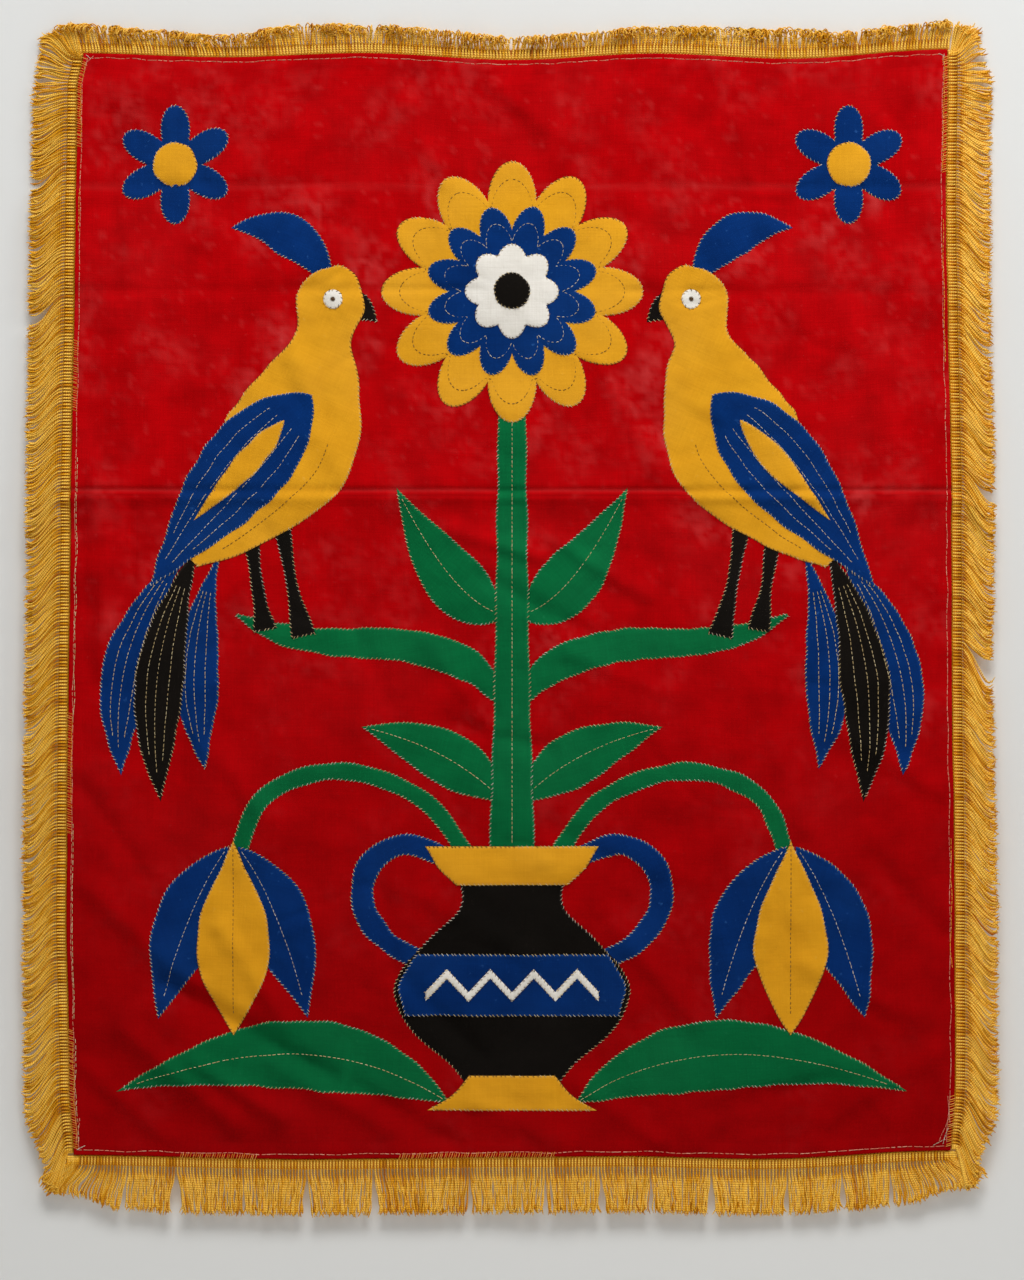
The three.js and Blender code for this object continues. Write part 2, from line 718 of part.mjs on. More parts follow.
// The fringe on all four sides
function fringes() {
  return [
    fringe('fringe_top', HEMS.top, TOP_TUFTS, ARCHED_RUN),
    fringe('fringe_left', HEMS.left, LEFT_TUFTS, STRAIGHT_RUN),
    fringe('fringe_right', HEMS.right, RIGHT_TUFTS, STRAIGHT_RUN),
    fringe('fringe_bottom', HEMS.bottom, BOTTOM_TUFTS, STRAIGHT_RUN),
  ];
}

// All the shapes, each cut out of its own layer of cloth
function sewnShapes() {
  const pitch = SHAPE_THICKNESS + AIR;
  const layers = Array.from({ length: 6 }, (_, i) => {
    const back = GROUND_FRONT + AIR + i * pitch;
    return toSolid(clothLayer(back, back + SHAPE_THICKNESS));
  });
  return [
    ...LEAVES.flatMap((leaf) => shapePieces(leaf, leafOutline(leaf), true, layers)),
    ...BANDS.flatMap((band) => shapePieces(band, sectionOutline(band), band.paired, layers)),
    ...ROSETTES.flatMap((rosette) => shapePieces(rosette, rosetteOutline(rosette), rosette.paired, layers)),
    ...shapePieces(ZIGZAG, zigzagOutline(ZIGZAG), false, layers),
  ];
}

const flag = new THREE.Group();
flag.add(sewnPiece('ground_cloth', clothLayer(GROUND_BACK, GROUND_FRONT), RED_COTTON));
flag.add(...fringes());
flag.add(...sewnShapes());

export default flag;
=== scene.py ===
"""The looks of an applique flag: a red cotton panel hanging from its top hem, cotton shapes sewn on
in layers with whip stitches, and a gold bullion fringe on all four sides.

Tables are in millimetres, as a maker measures: x to the right of the middle, depth below the top
hem, and for the shapes x and y from the middle of the panel. Meshes are in metres. The front of the
flag faces -Y and the wall that it hangs against is the plane y = 0.
"""

import logging
import math
from dataclasses import dataclass, field
from enum import Enum
from typing import Any

import bmesh
import bpy
import numpy as np
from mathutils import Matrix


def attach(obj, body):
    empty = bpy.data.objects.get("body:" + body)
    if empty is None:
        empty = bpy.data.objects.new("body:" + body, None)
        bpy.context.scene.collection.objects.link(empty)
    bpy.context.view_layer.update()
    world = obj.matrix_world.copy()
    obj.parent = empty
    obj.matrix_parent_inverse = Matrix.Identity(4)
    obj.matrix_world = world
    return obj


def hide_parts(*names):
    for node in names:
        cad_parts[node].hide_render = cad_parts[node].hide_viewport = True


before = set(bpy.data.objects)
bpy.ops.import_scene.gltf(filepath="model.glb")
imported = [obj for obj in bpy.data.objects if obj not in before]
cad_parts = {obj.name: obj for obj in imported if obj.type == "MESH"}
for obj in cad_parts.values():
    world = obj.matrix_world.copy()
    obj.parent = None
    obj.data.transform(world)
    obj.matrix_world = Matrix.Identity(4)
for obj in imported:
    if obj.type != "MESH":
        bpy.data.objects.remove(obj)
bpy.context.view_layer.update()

Array = np.ndarray
Table = dict[str, Array]
Line = tuple[float, float, float]
log = logging.getLogger("flag")

MM = 0.001
BODY = "root"

# The panel, as in the part
CLOTH_WIDTH = 914.0
CLOTH_HEIGHT = 1147.0
MIDDLE_DEPTH = CLOTH_HEIGHT / 2
HEM = 14.0
CLOTH_FRONT = 3.5
HEM_DROP = 0.9
HEM_BEND = 0.6
HEM_STITCH = 4.7
PITCH_OF_GRID = 4.2

# Depths of the two folds that were pressed across it, and of the painted shade line along the lower one
PRESSED_UPPER = 134.0
PRESSED_LOWER = 450.0
PRESSED_SHADE = 455.5

# Grid lines over the lower one: from, to, and their pitch
PRESSED_LINES = (445, 464, 1.5)

# Radii of the threads round the shapes, along the hems and across the shapes
EDGE_THREAD = 0.36
HEM_THREAD = 0.44
LINE_THREAD = 0.4


def table(columns: str, *rows: tuple[float, ...]) -> Table:
    """Turns rows of numbers into arrays by their columns' names, which have spaces between them."""
    values = np.array(rows, float)
    return {name: values[:, i] for i, name in enumerate(columns.split())}


# The top hem, held at four places: height of the hem and distance from the wall
TOP_HEM = table(
    "x z stand",
    (-453, 5, 0.5),
    (-298, 0, 4),
    (-157, 5, 0.5),
    (3, -3, 5),
    (147, 4.5, 0.5),
    (290, -1.5, 4),
    (455, 9, 0.5),
)
BOTTOM_HEM = table("x z", (-454, -1140), (-220, -1144), (116, -1141), (258, -1144), (455, -1135))
SIDE_HEMS = table(
    "depth left right",
    (0, -446, 453),
    (36, -452, 453),
    (155, -453.5, 451),
    (475, -457.5, 456),
    (720, -460, 456.5),
    (900, -462, 458.5),
    (1070, -459, 459),
    (1147, -455, 455),
)
STAND_OFF = table("depth stand", (0, 1), (240, 5), (454, 8), (800, 12), (1147, 8))
HEM_HOLD = 240.0

# The part's folds: soft ridges along a line, with the height and half width of each
FOLD_COLUMNS = "from_x from_depth to_x to_depth height width"
FOLDS = table(
    FOLD_COLUMNS,
    (-470, 454, 470, 454, 3, 24),
    (-402, 211, -402, 605, 6, 36),
    (200, 117, 257, 356, 5, 40),
    (-448, 605, -365, 979, 6, 38),
    (382, 564, 450, 1083, 6, 38),
    (-85, 470, 133, 668, 4, 50),
    (-386, 990, -220, 1104, 6, 36),
    (40, 1118, 330, 1050, 4, 34),
)

# Finer creases: the pressed fold across the middle, two lighter ones above it, and crumples
CREASES = table(
    FOLD_COLUMNS,
    (-460, 451, 460, 451, -1.1, 4),
    (-460, 458, 460, 458, 0.9, 6),
    (-450, 134, -180, 132, -0.7, 5),
    (150, 136, 450, 134, -0.6, 5),
    (-450, 243, -40, 241, -0.6, 5),
    (120, 243, 450, 244, -0.5, 5),
    (-420, 500, -424, 640, 1.6, 8),
    (-392, 470, -398, 610, -1.4, 7),
    (-436, 420, -430, 560, 1.2, 9),
    (-60, 492, 30, 520, 1.8, 9),
    (-30, 540, 80, 600, -1.6, 10),
    (40, 500, 140, 560, 1.5, 9),
    (60, 620, 160, 660, 1.4, 10),
    (-90, 600, -20, 700, 1.6, 12),
    (-70, 690, 40, 720, -1.3, 10),
    (-400, 1010, -290, 1104, 3.0, 14),
    (-360, 960, -190, 1060, -2.6, 12),
    (-330, 1040, -240, 1100, 2.2, 10),
    (-440, 1050, -360, 1120, 1.8, 11),
    (-300, 905, -235, 1000, 1.9, 11),
    (-120, 950, -30, 1040, -1.8, 11),
    (110, 905, 190, 1000, 1.7, 12),
    (250, 640, 300, 800, 1.3, 12),
    (-180, 560, -120, 690, -1.2, 11),
    (-330, 700, -250, 790, 1.3, 12),
    (90, 320, 150, 430, 1.1, 11),
    (-120, 30, -70, 130, 1.1, 11),
    (-420, 60, -410, 240, -1.1, 10),
    (-250, 1040, -130, 1110, 1.9, 12),
    (-160, 1070, -60, 1130, -1.5, 11),
    (-40, 1085, 60, 1130, 1.4, 12),
    (60, 1060, 150, 1125, 1.5, 11),
    (200, 1095, 330, 1060, -1.4, 12),
    (330, 1100, 440, 1030, 1.7, 13),
    (-440, 860, -330, 960, 1.6, 13),
    (-446, 760, -380, 850, -1.4, 12),
    (340, 700, 440, 760, 1.5, 12),
    (370, 830, 446, 910, -1.5, 12),
    (300, 940, 430, 1000, 1.6, 13),
    (-120, 860, 20, 930, 1.4, 13),
    (40, 800, 150, 860, -1.2, 12),
    (230, 60, 268, 180, 1.2, 10),
    (-300, 40, -330, 190, 1.0, 12),
    (-20, 30, 30, 70, 1.0, 9),
    (330, 220, 400, 400, 1.3, 14),
    (-230, 300, -180, 430, 1.0, 12),
)

# How deep the creases and crumples are drawn, and how far from the top and bottom they fade in
CREASE_DEPTH = 3.0
CREASE_FADE_TOP = 40.0
CREASE_FADE_BOTTOM = 30.0

# The cloth is drawn darker towards the bottom: how much at most, the depth where it starts and over what
# depth it grows
DARKENING_MOST = 0.62
DARKENING_FROM = 260.0
DARKENING_SPAN = 900.0

# The sewn shapes' thickness: a step for each layer, its round edge, and its soft crown
EDGE_LIFT = 0.12
LAYER_STEP = 0.75
EDGE_ROUND = 0.7
PUFF = 0.75
PUFF_REACH = 9.0
UNDER_SHAPES = 0.4
BRIDGE = 3


def smooth(share: Array) -> Array:
    """Eases shares from 0 to 1: three times the square less twice the cube."""
    share = np.clip(share, 0.0, 1.0)
    return share * share * (3.0 - 2.0 * share)


def lerp(low: Any, high: Any, share: Any) -> Any:
    """The value a share of the way from low to high."""
    return low + (high - low) * share


def read(rows: Table, key: str, column: str, at: Array) -> Array:
    """Reads a table's column smoothly between its rows.

    Args:
        rows: the table.
        key: the column that rises from row to row.
        column: the column to read.
        at: where to read it, in the key's units.

    Returns:
        The values, held at the first and last rows' past the ends.
    """
    keys = rows[key]
    at = np.asarray(at, float)
    row = np.clip(np.searchsorted(keys, at, side="right") - 1, 0, len(keys) - 2)
    share = smooth((at - keys[row]) / (keys[row + 1] - keys[row]))
    return lerp(rows[column][row], rows[column][row + 1], share)


def bell(values: Array, middle: float, width: float) -> Array:
    """1 where the values meet a middle, falling off to both sides over a width."""
    return np.exp(-(((values - middle) / width) ** 2))


def ridges(rows: Table, x: Array, depth: Array) -> Array:
    """The height of a table of folds: each is a bell across its line that fades past its ends.

    Args:
        rows: folds with the columns of FOLD_COLUMNS.
        x: places across.
        depth: places below the top hem.

    Returns:
        The sum of all the folds' heights.
    """
    total = np.zeros(np.broadcast(x, depth).shape)
    for i in range(len(rows["height"])):
        run_x = rows["to_x"][i] - rows["from_x"][i]
        run_depth = rows["to_depth"][i] - rows["from_depth"][i]
        from_x = x - rows["from_x"][i]
        from_depth = depth - rows["from_depth"][i]
        along = np.clip((from_x * run_x + from_depth * run_depth) / (run_x**2 + run_depth**2), 0, 1)
        away = np.hypot(from_x - along * run_x, from_depth - along * run_depth)
        total += rows["height"][i] * bell(away, 0.0, rows["width"][i])
    return total


def lengths_along(line: Array) -> Array:
    """Distances along a line of points from its first one."""
    return np.concatenate([[0], np.cumsum(np.linalg.norm(np.diff(line, axis=0), axis=1))])


def normals(line: Array) -> Array:
    """Unit vectors square to a line, one for each of its points.

    Args:
        line: points in a plane, a row each.

    Returns:
        The line's way at each point, given a quarter turn.
    """
    way = np.gradient(line, axis=0)
    way /= np.linalg.norm(way, axis=1, keepdims=True)
    return np.stack([-way[:, 1], way[:, 0]], axis=1)


@dataclass
class Raster:
    """A grid over the whole flag with one sample each millimetre, for what depends on the shapes."""

    left: float = -475.0
    bottom: float = -1165.0
    columns: int = 950
    rows: int = 1180

    def sample(self, values: Array, x: Array, z: Array) -> Array:
        """Reads a field between its samples, weighting the four around a place by nearness.

        Args:
            values: the field, rows from the bottom up.
            x: places across, in millimetres.
            z: heights, in millimetres.

        Returns:
            The field's values there.
        """
        column = np.clip(x - self.left, 0, self.columns - 1.001)
        row = np.clip(z - self.bottom, 0, self.rows - 1.001)
        i, j = column.astype(int), row.astype(int)
        share_x, share_z = column - i, row - j
        low = lerp(values[j, i], values[j, i + 1], share_x)
        high = lerp(values[j + 1, i], values[j + 1, i + 1], share_x)
        return lerp(low, high, share_z)

    def nearest(self, values: Array, x: Array, z: Array) -> Array:
        """Reads a field at its nearest samples.

        Args:
            values: the field.
            x: places across.
            z: heights.

        Returns:
            The nearest samples.
        """
        i = np.clip(np.rint(x - self.left).astype(int), 0, self.columns - 1)
        j = np.clip(np.rint(z - self.bottom).astype(int), 0, self.rows - 1)
        return values[j, i]

    def fill(self, outline: Array) -> Array:
        """The samples inside a closed outline: those with an odd count of crossings to their left.

        Args:
            outline: the outline's points, x and z in a row each.

        Returns:
            True inside the outline.
        """
        start, end = outline, np.roll(outline, -1, axis=0)
        heights = self.bottom + np.arange(self.rows)
        crosses = (start[:, 1] > heights[:, None]) != (end[:, 1] > heights[:, None])
        row, edge = np.nonzero(crosses)
        share = (heights[row] - start[edge, 1]) / (end[edge, 1] - start[edge, 1])
        across = lerp(start[edge, 0], end[edge, 0], share)
        column = np.clip(np.ceil(across - self.left).astype(int), 0, self.columns)
        turns = np.zeros((self.rows, self.columns + 1), int)
        np.add.at(turns, (row, column), 1)
        return np.cumsum(turns, axis=1)[:, :-1] % 2 == 1

    @staticmethod
    def soften(values: Array, width: float) -> Array:
        """Blurs a field with a bell, by way of its frequencies.

        Args:
            values: the field.
            width: the bell's width in samples.

        Returns:
            The blurred field.
        """
        down = np.fft.fftfreq(values.shape[0])[:, None]
        across = np.fft.rfftfreq(values.shape[1])[None, :]
        kept = np.exp(-2.0 * (math.pi * width) ** 2 * (down**2 + across**2))
        return np.fft.irfft2(np.fft.rfft2(values) * kept, values.shape)

    def noise(self, width: float, seed: int) -> Array:
        """Random noise softened to a width.

        Args:
            width: in millimetres.
            seed: for the noise.

        Returns:
            The field, with a spread of about 1 each way.
        """
        grains = np.random.default_rng(seed).standard_normal((self.rows, self.columns))
        soft = self.soften(grains, width)
        return soft / soft.std()

    @staticmethod
    def spread(values: Array, steps: int) -> Array:
        """Each sample becomes the greatest within a few steps of it.

        Args:
            values: the field.
            steps: how many samples far.

        Returns:
            The spread field.
        """
        for _ in range(steps):
            wide = np.maximum(values, np.maximum(np.roll(values, 1, 1), np.roll(values, -1, 1)))
            values = np.maximum(wide, np.maximum(np.roll(wide, 1, 0), np.roll(wide, -1, 0)))
        return values

    @staticmethod
    def depth_inside(mask: Array, steps: int) -> Array:
        """How far each sample lies inside a mask, by shaving the mask one sample at a time.

        Args:
            mask: True inside.
            steps: the greatest distance that is told apart.

        Returns:
            The distances in millimetres, 0 outside.
        """
        distance = np.zeros(mask.shape)
        for step in range(steps):
            distance += mask
            plus = mask & np.roll(mask, 1, 0) & np.roll(mask, -1, 0)
            inner = plus & np.roll(mask, 1, 1) & np.roll(mask, -1, 1)
            if step % 2:
                inner &= np.roll(np.roll(mask, 1, 0), 1, 1) & np.roll(np.roll(mask, -1, 0), -1, 1)
            mask = inner
        return distance


@dataclass
class Hanging:
    """The shape in which the cloth hangs, and the heights of all that is sewn on it."""

    raster: Raster = field(default_factory=Raster)
    crumple: Array = field(init=False)
    top: Array = field(init=False)
    layer: Array = field(init=False)
    under: Array = field(init=False)

    def __post_init__(self) -> None:
        """Works out the small crumples and starts with a bare cloth: soft waves 18 and 6 mm wide, and
        patches with a net of lines that the cloth was pressed into."""
        waves = 0.42 * self.raster.noise(18, 11) + 0.13 * self.raster.noise(6, 12)
        # Where soft noise crosses zero its size has a valley: a net of soft pressed lines
        pressed = -0.55 * bell(self.raster.noise(34, 13), 0.0, 0.16)
        patches = smooth((self.raster.noise(60, 14) + 0.6) / 1.4)
        self.crumple = waves + self.raster.soften(pressed * patches, 2.0)
        self.top = np.zeros_like(self.crumple)
        self.under = np.zeros_like(self.crumple)
        self.layer = np.zeros(self.crumple.shape, int)

    def stand(self, x: Array, z: Array) -> Array:
        """How far the cloth stands off the wall: the part's tables and folds, with finer creases.

        Args:
            x: places across, in millimetres.
            z: heights.

        Returns:
            Millimetres from the wall to the cloth's back.
        """
        depth = -z
        held = read(TOP_HEM, "x", "stand", x)
        free = read(STAND_OFF, "depth", "stand", depth)
        hold = smooth(depth / HEM_HOLD)
        part = lerp(held, free + ridges(FOLDS, x, depth), hold)
        fine = ridges(CREASES, x, depth) + self.raster.sample(self.crumple, x, z)
        calm_top = smooth((depth + 4) / CREASE_FADE_TOP)
        calm_bottom = smooth((CLOTH_HEIGHT - depth + 6) / CREASE_FADE_BOTTOM)
        return part + CREASE_DEPTH * fine * (calm_top * calm_bottom)

    def place(self, x: Array, z: Array, distance: Array) -> Array:
        """Points in metres, from millimetres across, up and in front of the cloth's back."""
        y = -(self.stand(x, z) + distance)
        return np.stack([x, y, z], axis=-1) * MM

    @staticmethod
    def soil(z: Array) -> Array:
        """How much darker the colour is drawn: more of it towards the bottom."""
        return DARKENING_MOST * smooth((-np.asarray(z) - DARKENING_FROM) / DARKENING_SPAN)

    @staticmethod
    def on_panel(across: Array, depth: Array) -> tuple[Array, Array]:
        """Where a share across and a depth down the panel hang.

        Args:
            across: shares from the left hem to the right one.
            depth: millimetres below the top hem.

        Returns:
            x and z in millimetres.
        """
        left = read(SIDE_HEMS, "depth", "left", depth)
        right = read(SIDE_HEMS, "depth", "right", depth)
        x = lerp(left, right, across)
        top = read(TOP_HEM, "x", "z", x)
        bottom = read(BOTTOM_HEM, "x", "z", x)
        return x, lerp(top, bottom, depth / CLOTH_HEIGHT)


def node(tree: bpy.types.NodeTree, kind: str, links: dict[Any, Any] | None = None, **settings: Any) -> Any:
    """Adds a node to a material.

    Args:
        tree: the material's nodes.
        kind: the node's type name without ShaderNode.
        links: an output socket, or a plain value, for inputs by name or number.
        settings: values of the node's own properties.

    Returns:
        The new node.
    """
    added = tree.nodes.new("ShaderNode" + kind)
    for name, value in settings.items():
        setattr(added, name, value)
    for name, value in (links or {}).items():
        if isinstance(value, bpy.types.NodeSocket):
            tree.links.new(value, added.inputs[name])
        else:
            added.inputs[name].default_value = value
    return added


def linear(colour: str) -> tuple[float, float, float, float]:
    """Turns an sRGB hex colour to linear light.

    Args:
        colour: a number sign and six hex digits.

    Returns:
        Red, green, blue and 1.
    """
    parts = [int(colour[i : i + 2], 16) / 255 for i in (1, 3, 5)]
    bent = [c / 12.92 if c <= 0.04045 else ((c + 0.055) / 1.055) ** 2.4 for c in parts]
    return (*bent, 1.0)


def mixed(tree: bpy.types.NodeTree, share: Any, first: Any, second: Any) -> Any:
    """Mixes two colours.

    Args:
        tree: the material's nodes.
        share: the second colour's share.
        first: the first colour.
        second: the second one.

    Returns:
        The output socket.
    """
    mix = node(tree, "Mix", data_type="RGBA")
    for i, value in ((0, share), (6, first), (7, second)):
        if isinstance(value, bpy.types.NodeSocket):
            tree.links.new(value, mix.inputs[i])
        else:
            mix.inputs[i].default_value = value
    return mix.outputs[2]


def ranged(tree: bpy.types.NodeTree, value: Any, low: float, high: float, to: tuple[float, float]) -> Any:
    """Maps a value between two limits to another range and returns the output socket."""
    links = {"Value": value, "From Min": low, "From Max": high, "To Min": to[0], "To Max": to[1]}
    return node(tree, "MapRange", links).outputs[0]


def attribute(tree: bpy.types.NodeTree, name: str) -> Any:
    """The output socket of a mesh's own value."""
    return node(tree, "Attribute", attribute_name=name, attribute_type="GEOMETRY").outputs["Fac"]


def blank_material(name: str) -> tuple[bpy.types.Material, bpy.types.NodeTree]:
    """A new material without nodes.

    Args:
        name: its name.

    Returns:
        The material and its node tree.
    """
    made = bpy.data.materials.new(name)
    made.use_nodes = True
    made.node_tree.nodes.clear()
    return made, made.node_tree


@dataclass(frozen=True)
class Cotton:
    """Plain-weave cotton, dyed in the piece: matt, with thin and thick threads that show as faint
    streaks both ways, and a soft bloom at grazing angles."""

    name: str
    slot: str
    base: str
    deep: str
    faded: str
    streak: float = 0.24
    mottle: float = 0.3
    roughness: float = 0.9
    bump: float = 0.4
    scuff: float = 0.15
    patch: float = 0.1
    sheen: float = 0.03
    # The threads lie 0.4 mm apart, too fine for the render, so streaks are drawn 1.6 mm wide
    streak_width: float = 1.6
    streak_length: float = 48.0
    # Patterns by their number to the metre: dye clouds 38 mm wide, faded patches of 140 mm, rubbed
    # spots of 7 mm, crumples of 13 mm, and the weave's grain drawn at 0.9 mm so that it shows
    clouds: float = 26.0
    patches: float = 7.0
    spots: float = 150.0
    crumples: float = 75.0
    grain: float = 1100.0

    def material(self) -> bpy.types.Material:
        """Builds the material, or finds it where it is there already.

        Returns:
            The material.
        """
        found = bpy.data.materials.get(self.name)
        if found:
            return found
        made, tree = blank_material(self.name)
        base, deep, faded = linear(self.base), linear(self.deep), linear(self.faded)
        flat = node(tree, "UVMap", uv_map="cloth").outputs[0]
        narrow, lengthy = 1 / (self.streak_width * MM), 1 / (self.streak_length * MM)
        warp = self.streaks(tree, flat, (narrow, lengthy, 1.0))
        weft = self.streaks(tree, flat, (lengthy, narrow, 1.0))
        threads = node(tree, "Math", {0: warp, 1: weft}, operation="ADD").outputs[0]
        cloud = self.cloud(tree, flat, self.clouds, 3.0)
        patch = self.cloud(tree, flat, self.patches, 2.0)
        spots = self.cloud(tree, flat, self.spots, 5.0)
        colour = mixed(tree, ranged(tree, threads, 0.7, 1.3, (0.0, self.streak)), base, deep)
        colour = mixed(tree, ranged(tree, cloud, 0.35, 0.75, (0.0, self.mottle)), colour, deep)
        colour = mixed(tree, ranged(tree, patch, 0.45, 0.8, (0.0, self.patch)), colour, faded)
        colour = mixed(tree, ranged(tree, spots, 0.66, 0.74, (0.0, self.scuff)), colour, faded)
        # Darker towards the bottom, and on the panel a painted shade line along the lower pressed fold
        colour = mixed(tree, attribute(tree, "soil"), colour, deep)
        colour = mixed(tree, attribute(tree, "worn"), colour, faded)
        grain = self.cloud(tree, flat, self.grain, 2.0)
        crumple = self.cloud(tree, flat, self.crumples, 3.0)
        fine = node(tree, "Math", {0: grain, 1: threads}, operation="ADD").outputs[0]
        soft = node(tree, "Bump", {"Strength": 0.5, "Distance": 0.0016, "Height": crumple}).outputs[0]
        woven = {"Strength": self.bump, "Distance": 0.0004, "Height": fine, "Normal": soft}
        settings = {
            "Base Color": colour,
            "Roughness": self.roughness,
            "Specular IOR Level": 0.03,
            "Sheen Weight": self.sheen,
            "Sheen Roughness": 0.5,
            "Sheen Tint": faded,
            "Normal": node(tree, "Bump", woven).outputs[0],
        }
        shader = node(tree, "BsdfPrincipled", settings)
        node(tree, "OutputMaterial", {"Surface": shader.outputs[0]})
        return made

    @staticmethod
    def streaks(tree: bpy.types.NodeTree, flat: Any, scale: tuple[float, float, float]) -> Any:
        """Thread streaks: noise drawn out along one way of the weave."""
        drawn = node(tree, "Mapping", {"Vector": flat, "Scale": scale}).outputs[0]
        return node(tree, "TexNoise", {"Vector": drawn, "Scale": 1.0, "Detail": 2.0}).outputs[0]

    @staticmethod
    def cloud(tree: bpy.types.NodeTree, flat: Any, scale: float, detail: float) -> Any:
        """Soft patches, a given number to the metre."""
        return node(tree, "TexNoise", {"Vector": flat, "Scale": scale, "Detail": detail}).outputs[0]


@dataclass(frozen=True)
class TwistedYarn:
    """Two-ply twisted yarn or thread: its plies show as slanting stripes with painted shade between
    them, and rayon ones catch the light along each turn."""

    name: str
    slot: str
    base: str
    deep: str
    pale: str
    roughness: float = 0.5
    specular: float = 0.3
    # One turn of the ply, in millimetres, drawn coarser than the real 0.9 mm so that it shows
    turn: float = 2.4
    ply_shade: float = 0.5

    def material(self) -> bpy.types.Material:
        """Builds the material, or finds it where it is there already.

        Returns:
            The material.
        """
        found = bpy.data.materials.get(self.name)
        if found:
            return found
        made, tree = blank_material(self.name)
        base, deep, pale = linear(self.base), linear(self.deep), linear(self.pale)
        flat = node(tree, "UVMap", uv_map="cloth").outputs[0]
        parts = node(tree, "SeparateXYZ", {0: flat}).outputs
        turns = node(tree, "Math", {0: parts[0], 1: 1 / (self.turn * MM)}, operation="MULTIPLY").outputs[0]
        angle = node(tree, "Math", {0: turns, 1: parts[1]}, operation="ADD").outputs[0]
        full = node(tree, "Math", {0: angle, 1: 2 * math.pi}, operation="MULTIPLY").outputs[0]
        wave = node(tree, "Math", {0: full}, operation="SINE").outputs[0]
        # The tone holds each yarn's own tone, and on the fringe also painted highlights and a painted shadow
        tone = attribute(tree, "tone")
        colour = mixed(tree, ranged(tree, tone, 0.0, 1.0, (0.0, 1.0)), deep, base)
        colour = mixed(tree, ranged(tree, tone, 0.7, 1.0, (0.0, 0.75)), colour, pale)
        # Painted shade in the grooves between the plies
        colour = mixed(tree, ranged(tree, wave, -1.0, 0.2, (self.ply_shade, 0.0)), colour, deep)
        settings = {
            "Base Color": colour,
            "Roughness": self.roughness,
            "Specular IOR Level": self.specular,
            "Normal": node(tree, "Bump", {"Strength": 0.6, "Distance": 0.0003, "Height": wave}).outputs[0],
        }
        shader = node(tree, "BsdfPrincipled", settings)
        node(tree, "OutputMaterial", {"Surface": shader.outputs[0]})
        return made


@dataclass(frozen=True)
class Plaster:
    """Painted plaster of the room: matt and pale. A wall is clear from behind, so that the flag's
    back can be looked at."""

    name: str
    colour: str
    clear_behind: bool
    grey: str = "#BCBAB6"

    def material(self) -> bpy.types.Material:
        """Builds the material.

        Returns:
            The material.
        """
        made, tree = blank_material(self.name)
        where = node(tree, "TexCoord").outputs["Object"]
        # Trowelled plaster varies in soft clouds of about 0.8 m
        cloud = node(tree, "TexNoise", {"Vector": where, "Scale": 1.3, "Detail": 3.0}).outputs[0]
        share = ranged(tree, cloud, 0.3, 0.7, (0.0, 0.05))
        colour = mixed(tree, share, linear(self.colour), linear(self.grey))
        surface = node(tree, "BsdfPrincipled", {"Base Color": colour, "Roughness": 0.9}).outputs[0]
        if self.clear_behind:
            behind = node(tree, "NewGeometry").outputs["Backfacing"]
            clear = node(tree, "BsdfTransparent").outputs[0]
            surface = node(tree, "MixShader", {0: behind, 1: surface, 2: clear}).outputs[0]
        node(tree, "OutputMaterial", {"Surface": surface})
        return made


class Cloth(Enum):
    """The cottons that the flag is cut from."""

    RED = Cotton(
        "red_cotton_plain_weave",
        "red_cotton",
        "#BA0006",
        "#740002",
        "#C43C3C",
        mottle=0.45,
        patch=0.04,
        scuff=0.1,
        sheen=0.01,
    )
    YELLOW = Cotton("yellow_cotton_plain_weave", "yellow_cotton", "#DE9E20", "#B97A10", "#E9BA5C")
    BLUE = Cotton(
        "blue_cotton_plain_weave", "blue_cotton", "#07306E", "#031A46", "#2C5C9C", scuff=0.55, mottle=0.45
    )
    GREEN = Cotton("green_cotton_plain_weave", "green_cotton", "#086A3A", "#034022", "#2E8C5C")
    BLACK = Cotton("black_cotton_plain_weave", "black_cotton", "#14110E", "#080605", "#38322D", sheen=0.16)
    WHITE = Cotton("white_cotton_plain_weave", "white_cotton", "#E4E0D8", "#CFC9BE", "#EEEAE2", streak=0.5)


class Yarn(Enum):
    """The threads and yarns."""

    GOLD = TwistedYarn(
        "gold_rayon_bullion", "gold_fringe", "#FFBC08", "#AC5A02", "#FFD25C", roughness=0.45, specular=0.22
    )
    PALE = TwistedYarn(
        "pale_cotton_thread", "white_cotton", "#DDD2BE", "#A8977C", "#F4EEE2", roughness=0.7, turn=1.2
    )
    PINK = TwistedYarn(
        "pink_cotton_thread", "white_cotton", "#F09A7C", "#C0604C", "#F6C4AA", roughness=0.7, turn=1.2
    )
    STRAW = TwistedYarn(
        "straw_cotton_thread", "yellow_cotton", "#E8D29C", "#B0905A", "#F2E4BE", roughness=0.7, turn=1.2
    )
    ORANGE = TwistedYarn(
        "orange_cotton_thread", "yellow_cotton", "#FFA62A", "#C06A12", "#FFC870", roughness=0.7, turn=1.2
    )
    DARK = TwistedYarn(
        "brown_cotton_thread", "black_cotton", "#6B4A28", "#3A2614", "#8A6A44", roughness=0.75, turn=1.2
    )


